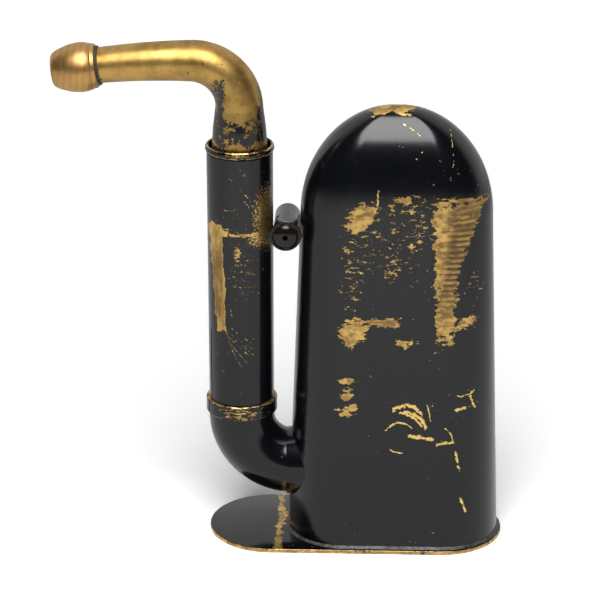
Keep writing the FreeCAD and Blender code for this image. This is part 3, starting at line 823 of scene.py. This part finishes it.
def apply_all(piece: bpy.types.Object) -> None:
    """Applies a piece's modifiers in order.

    Args:
        piece: the piece.
    """
    pick(piece)
    for modifier in list(piece.modifiers):
        bpy.ops.object.modifier_apply(modifier=modifier.name)


def carve(piece: bpy.types.Object, tool: bpy.types.Object, name: str) -> None:
    """Cuts a tool's shape out of a piece and throws the tool away.

    Args:
        piece: the piece.
        tool: the tool.
        name: the cut's name.
    """
    cut = piece.modifiers.new(name, "BOOLEAN")
    cut.operation = "DIFFERENCE"
    cut.object = tool
    apply_all(piece)
    bpy.data.objects.remove(tool, do_unlink=True)


def settle(
    piece: bpy.types.Object,
    part: Part,
    slot: str,
    finish: bpy.types.Material,
    *nodes: str,
) -> None:
    """Gives a finished piece its material and its body, and hides the nodes that it stands for.

    Args:
        piece: the piece.
        part: the body that it rides on.
        slot: the record's material slot, which is not used.
        finish: its material.
        nodes: the CAD nodes that it replaces.
    """
    pick(piece)
    bpy.ops.object.transform_apply(location=True, rotation=True, scale=True)
    bpy.ops.object.shade_smooth_by_angle(angle=SHARP_EDGE)
    piece.data.materials.clear()
    piece.data.materials.append(finish)
    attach(piece, part.value)
    if nodes:
        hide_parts(*nodes)
    LOG.info("built %s on %s", piece.name, part.value)


def turn_on_lathe(
    name: str, outline: Sequence[tuple[float, float]], steps: int
) -> bpy.types.Object:
    """Turns an outline about the Z axis.

    Args:
        name: the piece's name.
        outline: radius and height of each corner, in millimetres, round the section once.
        steps: how many flats the turn has.

    Returns:
        The turned piece, still about the world's Z axis.
    """
    bpy.ops.object.select_all(action="DESELECT")
    bpy.ops.mesh.primitive_plane_add(size=MM)
    piece = start_piece(name)
    bpy.ops.object.mode_set(mode="EDIT")
    bpy.ops.mesh.select_all(action="SELECT")
    bpy.ops.mesh.merge(type="CENTER")
    last = Vector((0.0, 0.0, 0.0))
    for index, (radius, height) in enumerate([*outline, outline[0]]):
        corner = Vector((radius * MM, 0.0, height * MM))
        if index == 0:
            bpy.ops.transform.translate(value=corner)
        else:
            bpy.ops.mesh.extrude_region_move(TRANSFORM_OT_translate={"value": corner - last})
        last = corner
    bpy.ops.mesh.select_all(action="SELECT")
    bpy.ops.mesh.spin(steps=steps, angle=math.tau, center=(0, 0, 0), axis=(0, 0, 1))
    bpy.ops.mesh.select_all(action="SELECT")
    bpy.ops.mesh.remove_doubles(threshold=WELD)
    bpy.ops.mesh.normals_make_consistent(inside=False)
    bpy.ops.object.mode_set(mode="OBJECT")
    return piece


@dataclass
class Foot:
    """The foot plate with its softened rim and its sound holes, and the solder round the wall."""

    left: float = 73.3
    right: float = 43.5
    half_depth: float = 25.0
    thick: float = 1.65
    softening: float = 0.45
    hole_radius: float = 1.7
    rings: tuple[tuple[float, int], ...] = ((7.0, 6), (14.0, 12))
    rim_corners: int = 160
    bevel_steps: int = 4
    hole_corners: int = 32
    drill_length: float = 6.0
    finish: Japanning = field(
        default_factory=lambda: Japanning(
            "foot_japanning",
            rubs=(Rub(-45.0, 1.65, 1.9, 60.0, 0.66, side=Side.ALL, outline=Outline.SQUARE),),
            all_over=0.15,
            fleck=(2.6, 2.6, 2.6),
            edge_wear=0.7,
        )
    )

    def build(self) -> bpy.types.Object:
        """Models the plate.

        Returns:
            The plate.
        """
        bpy.ops.object.select_all(action="DESELECT")
        bpy.ops.mesh.primitive_circle_add(
            vertices=self.rim_corners,
            radius=self.half_depth * MM,
            fill_type="NGON",
            location=(0, 0, 0),
        )
        plate = start_piece("foot_plate_soft_rim")
        bpy.ops.object.mode_set(mode="EDIT")
        for side, reach in ((-1, self.left), (1, self.right)):
            self.select_side(plate, side)
            bpy.ops.transform.translate(value=(side * (reach - self.half_depth) * MM, 0, 0))
        bpy.ops.object.mode_set(mode="OBJECT")
        wall = plate.modifiers.new("thickness", "SOLIDIFY")
        wall.thickness = self.thick * MM
        wall.offset = 1.0
        edge = plate.modifiers.new("softening", "BEVEL")
        edge.width = self.softening * MM
        edge.segments = self.bevel_steps
        edge.limit_method = "ANGLE"
        apply_all(plate)
        self.bore(plate)
        return plate

    @staticmethod
    def select_side(plate: bpy.types.Object, side: int) -> None:
        """Selects the corners on one side of the middle, in edit mode.

        Args:
            plate: the plate.
            side: -1 for the left, 1 for the right.
        """
        bpy.ops.mesh.select_all(action="DESELECT")
        bpy.ops.object.mode_set(mode="OBJECT")
        for corner in plate.data.vertices:
            corner.select = corner.co.x * side > OFF_MIDDLE
        bpy.ops.object.mode_set(mode="EDIT")
        bpy.ops.mesh.select_mode(type="VERT")

    def bore(self, plate: bpy.types.Object) -> None:
        """Bores the two rings of sound holes.

        Args:
            plate: the plate.
        """
        drills = []
        for reach, count in self.rings:
            for index in range(count):
                turn = math.tau * index / count
                bpy.ops.object.select_all(action="DESELECT")
                bpy.ops.mesh.primitive_cylinder_add(
                    vertices=self.hole_corners,
                    radius=self.hole_radius * MM,
                    depth=self.drill_length * MM,
                    location=(reach * MM * math.cos(turn), reach * MM * math.sin(turn), 0),
                )
                drills.append(bpy.context.object)
        pick(*drills)
        bpy.ops.object.join()
        carve(plate, bpy.context.object, "holes")

    def assemble(self, nodes: Nodes, solder: bpy.types.Material) -> None:
        """Builds and dresses the foot.

        Args:
            nodes: the CAD nodes by name.
            solder: the solder's material.
        """
        settle(self.build(), Part.RESONATOR, "japanned", self.finish.material(), "foot_plate")
        dress(nodes, solder, ["foot_solder_fillet"])


RESONATOR_RUBS: tuple[Rub, ...] = (
    Rub(21.6, 131.0, 7.3, 13.5, 1.0, flare=0.42, lean=2.3, outline=Outline.SQUARE, fade=(1.4, 0.55)),
    Rub(19.2, 104.0, 4.0, 17.0, 0.9, flare=0.12, lean=0.4, outline=Outline.SQUARE, fade=(1.45, 0.4)),
    Rub(27.0, 95.5, 4.6, 3.6, 0.56),
    Rub(24.0, 144.5, 10.5, 2.6, 0.6),
    Rub(-13.4, 138.0, 5.4, 5.8, 0.78, lean=1.6),
    Rub(-16.0, 92.4, 5.6, 6.0, 0.76, lean=1.0),
    Rub(-4.0, 96.2, 7.0, 2.3, 0.72),
    Rub(4.2, 88.2, 5.4, 1.6, 0.6),
    Rub(-17.8, 72.4, 4.2, 1.3, 0.6),
    Rub(-18.4, 66.5, 2.4, 2.6, 0.58),
    Rub(-17.8, 60.0, 4.2, 2.5, 0.64),
    Rub(-4.0, 128.0, 19.0, 20.0, 0.31, outline=Outline.SQUARE),
    Rub(3.0, 143.0, 9.0, 4.5, 0.46),
    Rub(8.5, 131.0, 5.0, 12.0, 0.4),
    Rub(-17.0, 117.0, 5.0, 20.0, 0.39),
    Rub(-1.0, 119.0, 4.0, 7.0, 0.42),
    Rub(30.0, 110.0, 3.5, 12.0, 0.28),
    Rub(22.0, 154.0, 12.0, 12.0, 0.2),
    Rub(29.0, 64.0, 4.5, 7.0, 0.3),
    Rub(-1.5, 177.6, 15.5, 1.8, 0.9, side=Side.ALL),
    Rub(14.0, 118.0, 11.0, 26.0, 0.5, side=Side.BACK),
    Rub(-14.0, 96.0, 9.0, 12.0, 0.45, side=Side.BACK),
    Rub(2.0, 140.0, 20.0, 8.0, 0.36, side=Side.BACK),
)

RESONATOR_SCRATCHES: tuple[Scratch, ...] = (
    Scratch((-1.0, 60.0), (11.5, 57.6), 1.0, 3.6, 0.8),
    Scratch((3.0, 59.4), (12.5, 52.0), 1.0, 2.4, 0.8),
    Scratch((1.4, 59.2), (11.0, 53.2), 0.5, 1.6, 0.75),
    Scratch((12.7, 62.7), (14.4, 55.6), 0.3),
    Scratch((-3.4, 51.4), (7.4, 52.6), 0.5, 3.2, 0.75),
    Scratch((5.1, 49.8), (16.0, 48.2), 0.95, 0.0, 0.78),
    Scratch((16.1, 46.0), (23.8, 47.3), 0.7, 0.0, 0.78),
    Scratch((19.4, 53.3), (23.3, 46.7), 0.35, 0.9),
    Scratch((23.9, 43.4), (25.9, 34.4), 0.5),
    Scratch((26.3, 23.8), (28.8, 16.4), 0.6),
    Scratch((-1.8, 44.1), (3.7, 42.5), 0.4, -0.6),
    Scratch((23.6, 60.0), (27.8, 61.3), 0.9),
    Scratch((29.2, 66.0), (31.3, 60.2), 0.6),
    Scratch((23.8, 66.6), (31.1, 68.4), 0.35, -1.6),
    Scratch((-8.9, 139.8), (-7.2, 149.3), 0.4, -0.7),
    Scratch((0.5, 172.8), (8.8, 168.2), 0.3, 0.6, 0.45),
    Scratch((19.6, 170.0), (21.2, 157.0), 0.26, 0.3, 0.43),
    Scratch((6.8, 160.5), (9.6, 163.8), 0.2, 0.0, 0.45),
)


@dataclass
class Resonator:
    """The tapered wall, the dome, the lower elbow and the pieces inside."""

    finish: Japanning = field(
        default_factory=lambda: Japanning(
            "resonator_japanning",
            rubs=RESONATOR_RUBS,
            scratches=RESONATOR_SCRATCHES,
            tarnish=(
                Rub(
                    22.8, 122.0, 4.6, 23.0, 0.95,
                    flare=0.3, lean=4.4, outline=Outline.SQUARE, fade=(1.35, 0.4),
                ),
                Rub(-4.0, 96.2, 5.0, 1.6, 0.55),
            ),
            ripple=0.145,
            gloss=0.185,
        )
    )
    elbow_finish: Japanning = field(default_factory=lambda: Japanning("elbow_japanning"))

    def assemble(self, nodes: Nodes) -> None:
        """Dresses the resonator.

        Args:
            nodes: the CAD nodes by name.
        """
        dress(nodes, self.finish.material(), ["resonator_wall", "dome_cap"])
        dress(nodes, self.elbow_finish.material(), ["lower_elbow", "elbow_solder_cone"])
        inside = BareBrass("inner_brass", tarnish=0.8).material()
        dress(
            nodes,
            inside,
            ["dome_lap_strip", "collector_pipe", "collector_bell", "collector_stay", "stand_pipe"],
        )


SLEEVE_SCRATCHES: tuple[Scratch, ...] = tuple(
    Scratch(start, stop, width, cut=0.47)
    for start, stop, width in (
        ((-65.5, 88.5), (-53.5, 80.5), 0.1),
        ((-65.0, 87.0), (-55.0, 77.5), 0.13),
        ((-65.5, 86.0), (-57.0, 75.5), 0.13),
        ((-64.0, 88.5), (-54.0, 78.0), 0.1),
        ((-64.5, 84.0), (-59.5, 74.0), 0.1),
        ((-62.5, 85.0), (-51.5, 86.0), 0.09),
        ((-63.5, 90.5), (-55.5, 84.0), 0.1),
        ((-63.5, 108.0), (-56.0, 107.2), 0.2),
        ((-62.5, 117.0), (-57.5, 116.6), 0.18),
        ((-58.0, 113.0), (-53.5, 112.0), 0.16),
        ((-64.6, 100.5), (-62.4, 94.0), 0.3),
        ((-57.0, 144.5), (-53.0, 136.5), 0.26),
        ((-58.5, 145.5), (-55.5, 143.5), 0.24),
        ((-58.3, 143.0), (-56.0, 139.5), 0.2),
        ((-65.5, 138.0), (-59.5, 139.5), 0.12),
    )
)


@dataclass
class Sleeve:
    """The sliding sleeve with its split band and its rim."""

    axis: float = -60.24
    finish: Japanning = field(
        default_factory=lambda: Japanning(
            "sleeve_japanning",
            rubs=(
                Rub(
                    -68.3, 110.0, 2.3, 22.0, 1.0,
                    flare=0.16, lean=-1.1, outline=Outline.SQUARE, fade=(1.25, 0.75),
                ),
                Rub(-68.0, 129.2, 4.3, 2.0, 0.8),
                Rub(-59.0, 128.6, 9.0, 1.3, 0.62),
                Rub(-60.8, 121.0, 1.8, 3.0, 0.56),
                Rub(-59.0, 112.0, 7.0, 14.0, 0.24, outline=Outline.SQUARE),
                Rub(-60.0, 152.0, 8.0, 6.0, 0.24),
                Rub(-66.0, 82.0, 5.0, 6.0, 0.22),
                Rub(-62.0, 118.0, 8.0, 12.0, 0.42, side=Side.BACK),
            ),
            dust=(
                Rub(-49.6, 134.5, 5.6, 14.5, 0.56),
                Rub(-52.0, 126.5, 5.5, 4.0, 0.52),
                Rub(-66.0, 88.0, 5.0, 7.0, 0.26),
                Rub(-59.0, 118.0, 11.0, 36.0, 0.262),
            ),
            scratches=SLEEVE_SCRATCHES,
            # Brown down the sleeve's right flank: partly brown tarnish, partly painted shade where that
            # flank reflects the dark room
            tarnish=(Rub(-47.6, 134.0, 4.6, 16.0, 0.95, side=Side.ALL),),
            wander=3.0,
            fleck=(2.2, 2.2, 1.0),
            tone=(6.0, 6.0, 18.0),
        )
    )

    def ring_finish(self, name: str, node: str) -> bpy.types.Material:
        """Japanning that is worn along a ring's two edges.

        Args:
            name: the material's name.
            node: the ring's CAD node.

        Returns:
            The material.
        """
        low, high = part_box(node)
        edges = tuple(
            Rub(self.axis, height / MM, 60.0, 0.5, 0.55, side=Side.ALL, outline=Outline.SQUARE)
            for height in (low[2], high[2])
        )
        face = Rub(self.axis, (low[2] + high[2]) / 2 / MM, 8.0, 4.0, 0.44)
        worn = Japanning(
            name, rubs=(*edges, face), all_over=0.27, wander=0.6, fleck=(2.6, 2.6, 0.7)
        )
        return worn.material()

    def assemble(self, nodes: Nodes) -> None:
        """Dresses the sleeve.

        Args:
            nodes: the CAD nodes by name.
        """
        dress(nodes, self.finish.material(), ["sleeve_tube"])
        for ring in ("sleeve_foot_band", "sleeve_rim"):
            dress(nodes, self.ring_finish(f"{ring}_japanning", ring), [ring])


@dataclass
class EarTube:
    """The bent ear tube, its spigot and nipple, and the bulb tip with its turned lines."""

    end: tuple[float, float] = (-112.8394, 191.9141)
    droop: float = 6.9
    bulb: tuple[tuple[float, float], ...] = (
        (5.9, 1.0),
        (7.9, 1.0),
        (8.25, 1.25),
        (8.5, 2.0),
        (8.62, 2.5),
        (8.5, 2.75),
        (8.72, 3.05),
        (9.12, 4.4),
        (9.38, 5.8),
        (9.46, 7.0),
        (9.44, 8.2),
        (9.3, 9.6),
        (9.05, 11.0),
        (8.7, 12.4),
        (8.58, 12.72),
        (8.46, 12.85),
        (8.4, 13.2),
        (7.95, 14.6),
        (7.4, 15.9),
        (6.85, 16.9),
        (6.4, 17.55),
        (5.85, 18.02),
        (5.2, 18.2),
        (3.95, 18.2),
        (3.7, 18.1),
        (3.6, 17.8),
        (3.6, 9.6),
        (5.9, 9.6),
    )
    flats: int = 128
    finish: BareBrass = field(
        default_factory=lambda: StemBrass(
            "ear_tube_brass", pale=ARM_GOLD, dark=ARM_SHADE, dull=0.4
        )
    )
    bulb_rings: float = 0.13

    def build(self) -> bpy.types.Object:
        """Turns the bulb and lays it along the arm's end.

        Returns:
            The bulb.
        """
        bulb = turn_on_lathe("ear_tip_turned", self.bulb, self.flats)
        tilt = Matrix.Rotation(math.radians(-90.0 - self.droop), 4, "Y")
        bulb.matrix_world = Matrix.Translation((self.end[0] * MM, 0, self.end[1] * MM)) @ tilt
        return bulb

    def assemble(self, nodes: Nodes) -> None:
        """Builds and dresses the ear tube.

        Args:
            nodes: the CAD nodes by name.
        """
        dress(nodes, self.finish.material(), ["ear_elbow"])
        dress(nodes, BareBrass("spigot_brass").material(), ["ear_spigot", "ear_nipple"])
        packing = Plain("tip_packing", (0.03, 0.026, 0.016, 1), (0.012, 0.011, 0.008, 1), 0.0, 0.7, 1.0)
        dress(nodes, packing.material(), ["tip_packing"])
        turned = BareBrass(
            "bulb_brass",
            pale=ARM_GOLD,
            dark=RED_GOLD,
            turned=self.bulb_rings,
            tilt=-self.droop,
            dull=0.4,
        )
        settle(self.build(), Part.EAR_TIP, "brass", turned.material(), "ear_tip")


@dataclass
class VentCock:
    """The cross barrel with its plug, knob, washer and slotted screw."""

    offset: float = 42.35
    height: float = 128.3
    screw_foot: float = 7.5
    screw_face: float = 13.25
    screw_flats: int = 48
    slot_width: float = 0.6
    slot_length: float = 6.0
    slot_depth: float = 1.1
    slot_rise: float = 1.25
    knob_back: float = 10.7
    knob_front: float = 14.1
    knob_flats: int = 96
    pin_hole: float = 1.05
    pin_corners: int = 32
    pin_length: float = 4.0
    pin_rise: float = 0.2
    finish: Japanning = field(
        default_factory=lambda: Japanning("barrel_japanning", all_over=0.26, fleck=(1.6, 1.6, 1.6))
    )

    def lay(self, piece: bpy.types.Object, side: Side) -> None:
        """Lays a piece that was turned about the Z axis along the barrel.

        Args:
            piece: the piece.
            side: the face of the object that its top points to.
        """
        quarter = math.radians(90.0 if side is Side.FRONT else -90.0)
        middle = Matrix.Translation((-self.offset * MM, 0, self.height * MM))
        piece.matrix_world = middle @ Matrix.Rotation(quarter, 4, "X")

    def build(self) -> bpy.types.Object:
        """Models the slotted rear screw.

        Returns:
            The screw.
        """
        face = self.screw_face
        outline = (
            (0.0, self.screw_foot),
            (1.2, self.screw_foot),
            (1.2, face),
            (2.3, face),
            (2.4, face + 0.12),
            (2.4, face + 0.5),
            (2.25, face + 0.78),
            (1.8, face + 1.06),
            (1.2, face + 1.22),
            (0.0, face + 1.3),
        )
        screw = turn_on_lathe("vent_screw_slotted", outline, self.screw_flats)
        bpy.ops.object.select_all(action="DESELECT")
        bpy.ops.mesh.primitive_cube_add(size=1.0, location=(0, 0, (face + self.slot_rise) * MM))
        blade = bpy.context.object
        blade.scale = (self.slot_length * MM, self.slot_width * MM, self.slot_depth * MM)
        carve(screw, blade, "slot")
        self.lay(screw, Side.BACK)
        return screw

    def build_knob(self) -> bpy.types.Object:
        """Turns the domed knob and drills its pin hole.

        Returns:
            The knob.
        """
        back, front = self.knob_back, self.knob_front
        outline = (
            (0.0, back),
            (5.75, back),
            (6.0, back + 0.15),
            (6.1, back + 0.5),
            (6.05, back + 0.9),
            (5.8, back + 1.15),
            (5.3, back + 1.22),
            (5.05, back + 1.1),
            (5.0, back + 1.35),
            (4.7, back + 2.0),
            (4.0, back + 2.6),
            (3.1, back + 3.02),
            (2.1, back + 3.25),
            (1.05, front - 0.03),
            (0.0, front),
        )
        knob = turn_on_lathe("vent_knob_domed", outline, self.knob_flats)
        bpy.ops.object.select_all(action="DESELECT")
        bpy.ops.mesh.primitive_cylinder_add(
            vertices=self.pin_corners,
            radius=self.pin_hole * MM,
            depth=self.pin_length * MM,
            location=(0, 0, (front + self.pin_rise) * MM),
        )
        carve(knob, bpy.context.object, "pin_hole")
        self.lay(knob, Side.FRONT)
        return knob

    def assemble(self, nodes: Nodes, solder: bpy.types.Material) -> None:
        """Builds and dresses the vent cock.

        Args:
            nodes: the CAD nodes by name.
            solder: the solder's material.
        """
        brass = BareBrass("vent_brass", tarnish=0.8).material()
        dress(nodes, self.finish.material(), ["vent_barrel"])
        horn = KnobHorn("knob_horn", -self.offset, self.height).material()
        settle(self.build_knob(), Part.VENT, "horn", horn, "vent_knob")
        dress(nodes, brass, ["vent_plug", "vent_washer"])
        dress(nodes, solder, ["vent_saddle"])
        settle(self.build(), Part.VENT, "brass", brass, "vent_screw")


@dataclass
class Studio:
    """The white sweep, the soft lights and the camera."""

    aim: tuple[float, float, float] = (-0.0372, 0.0, 0.0976)
    distance: float = 1.014
    azimuth: float = 2.0
    pitch: float = 21.5
    lens: float = 156.0
    sensor: float = 36.0
    reach: float = 50.0
    lamp_place: tuple[float, float, float] = (-0.04, -0.68, 1.165)
    lamp_aim: tuple[float, float, float] = (-0.03, 0.0, 0.1)
    lamp_size: tuple[float, float] = (0.9, 1.05)
    lamp_watts: float = 25.0
    room_light: float = 0.035
    backdrop: tuple[float, float] = (-0.05, 0.3)
    floor_size: float = 8.0
    floor_rise: float = 3.0
    near_glow: float = 0.2
    far_glow: float = 0.68
    edge_glow: float = 0.95
    near_ring: tuple[float, float] = (150.0, 850.0)
    far_ring: tuple[float, float] = (600.0, 3200.0)
    aside_band: tuple[float, float] = (400.0, 1500.0)
    behind_band: tuple[float, float] = (500.0, 2000.0)

    def back(self) -> Vector:
        """Works out the direction from the aim to the camera.

        Returns:
            A unit vector.
        """
        turn, rise = math.radians(self.azimuth), math.radians(self.pitch)
        return Vector(
            (math.sin(turn) * math.cos(rise), -math.cos(turn) * math.cos(rise), math.sin(rise))
        )

    def camera(self) -> None:
        """Places the camera as the photograph's was."""
        data = bpy.data.cameras.new("camera")
        data.lens = self.lens
        data.sensor_width = self.sensor
        data.clip_end = self.reach
        camera = bpy.data.objects.new("camera", data)
        bpy.context.scene.collection.objects.link(camera)
        camera.location = Vector(self.aim) + self.back() * self.distance
        camera.rotation_euler = (-self.back()).to_track_quat("-Z", "Y").to_euler()
        bpy.context.scene.camera = camera

    def lamp(self) -> None:
        """Hangs the soft box over the object and turns it to face it."""
        data = bpy.data.lights.new("top_box", "AREA")
        data.shape = "ELLIPSE"
        data.size, data.size_y = self.lamp_size
        data.energy = self.lamp_watts
        lamp = bpy.data.objects.new("top_box", data)
        bpy.context.scene.collection.objects.link(lamp)
        lamp.location = self.lamp_place
        toward = Vector(self.lamp_aim) - Vector(self.lamp_place)
        lamp.rotation_euler = toward.to_track_quat("-Z", "Y").to_euler()

    @staticmethod
    def joined(
        tree: bpy.types.NodeTree,
        operation: str,
        first: bpy.types.NodeSocket,
        second: bpy.types.NodeSocket,
    ) -> bpy.types.NodeSocket:
        """Joins two sockets by one step of arithmetic.

        Args:
            tree: the node tree.
            operation: the step.
            first: the first socket.
            second: the second socket.

        Returns:
            The result's socket.
        """
        step = tree.nodes.new("ShaderNodeMath")
        step.operation = operation
        tree.links.new(first, step.inputs[0])
        tree.links.new(second, step.inputs[1])
        return step.outputs[0]

    def world(self) -> None:
        """Makes a dim room with a white backdrop, which camera and mirror rays see as full white."""
        world = bpy.data.worlds.new("room")
        world.use_nodes = True
        bpy.context.scene.world = world
        tree = world.node_tree
        path = tree.nodes.new("ShaderNodeLightPath")
        coordinates = tree.nodes.new("ShaderNodeTexCoord")
        split = tree.nodes.new("ShaderNodeSeparateXYZ")
        tree.links.new(coordinates.outputs["Generated"], split.inputs[0])
        behind = tree.nodes.new("ShaderNodeMapRange")
        behind.inputs["From Min"].default_value, behind.inputs["From Max"].default_value = self.backdrop
        tree.links.new(split.outputs["Y"], behind.inputs["Value"])
        rays = path.outputs
        mirrored = self.joined(tree, "MAXIMUM", rays["Is Glossy Ray"], rays["Is Transmission Ray"])
        mirrored = self.joined(tree, "MULTIPLY", mirrored, behind.outputs[0])
        seen = self.joined(tree, "MAXIMUM", rays["Is Camera Ray"], mirrored)
        level = tree.nodes.new("ShaderNodeMapRange")
        level.inputs["To Min"].default_value = self.room_light
        level.inputs["To Max"].default_value = 1.0
        tree.links.new(seen, level.inputs["Value"])
        tree.links.new(level.outputs[0], tree.nodes["Background"].inputs["Strength"])
        tree.nodes["Background"].inputs["Color"].default_value = (1, 1, 1, 1)

    def floor(self) -> None:
        """Lays the white floor with an upright rise behind the object."""
        bpy.ops.object.select_all(action="DESELECT")
        bpy.ops.mesh.primitive_plane_add(size=self.floor_size, location=(0, 0, 0))
        floor = start_piece("studio_floor")
        bpy.ops.object.mode_set(mode="EDIT")
        bpy.ops.mesh.select_all(action="DESELECT")
        bpy.ops.object.mode_set(mode="OBJECT")
        for edge in floor.data.edges:
            ends = [floor.data.vertices[index].co for index in edge.vertices]
            edge.select = all(end.y > 0 for end in ends)
        bpy.ops.object.mode_set(mode="EDIT")
        bpy.ops.mesh.select_mode(type="EDGE")
        bpy.ops.mesh.extrude_region_move(TRANSFORM_OT_translate={"value": (0, 0, self.floor_rise)})
        bpy.ops.object.mode_set(mode="OBJECT")
        bench = Bench("studio_white")
        cloud = bench.noise((60.0, 60.0, 60.0), detail=2.0, rough=0.5)
        white = bench.mix(cloud, (0.93, 0.93, 0.93, 1.0), (0.95, 0.95, 0.95, 1.0))
        rays = bench.node("ShaderNodeLightPath").outputs
        mirrored = bench.most(rays["Is Glossy Ray"], rays["Is Transmission Ray"])
        distance = bench.node("ShaderNodeVectorMath", operation="LENGTH")
        bench.feed(distance.inputs[0], bench.place)
        away = distance.outputs["Value"]
        around = bench.most(
            bench.ease(away, *self.near_ring, self.near_glow, self.far_glow),
            bench.ease(away, *self.far_ring, 0.0, self.edge_glow),
        )
        sideways = bench.math("ABSOLUTE", bench.across)
        aside = bench.ease(sideways, *self.aside_band, 0.0, self.far_glow)
        behind = bench.ease(bench.depth, *self.behind_band, 0.0, self.far_glow)
        behind = bench.most(aside, behind)
        glow = bench.most(bench.times(rays["Is Camera Ray"], around), bench.times(mirrored, behind))
        floor.data.materials.append(
            bench.finish(
                Base_Color=white,
                Roughness=0.9,
                Specular_IOR_Level=0.0,
                Emission_Color=(1.0, 1.0, 1.0, 1.0),
                Emission_Strength=glow,
            )
        )

    def set_up(self) -> None:
        """Builds the whole studio."""
        bpy.context.scene.view_settings.view_transform = "Standard"
        self.floor()
        self.world()
        self.camera()
        self.lamp()
        LOG.info("studio is set")


def main() -> None:
    """Loads the frame, builds and dresses each sub-assembly, and sets the studio."""
    logging.basicConfig(level=logging.INFO, format="%(name)s: %(message)s")
    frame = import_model()
    nodes = frame["nodes"]
    grey = Plain("soft_solder", (0.085, 0.083, 0.078, 1), (0.012, 0.012, 0.012, 1), 0.5, 0.5, 1.6)
    solder = grey.material()
    Foot().assemble(nodes, solder)
    Resonator().assemble(nodes)
    Sleeve().assemble(nodes)
    EarTube().assemble(nodes)
    VentCock().assemble(nodes, solder)
    Studio().set_up()


if __name__ == "__main__":
    main()
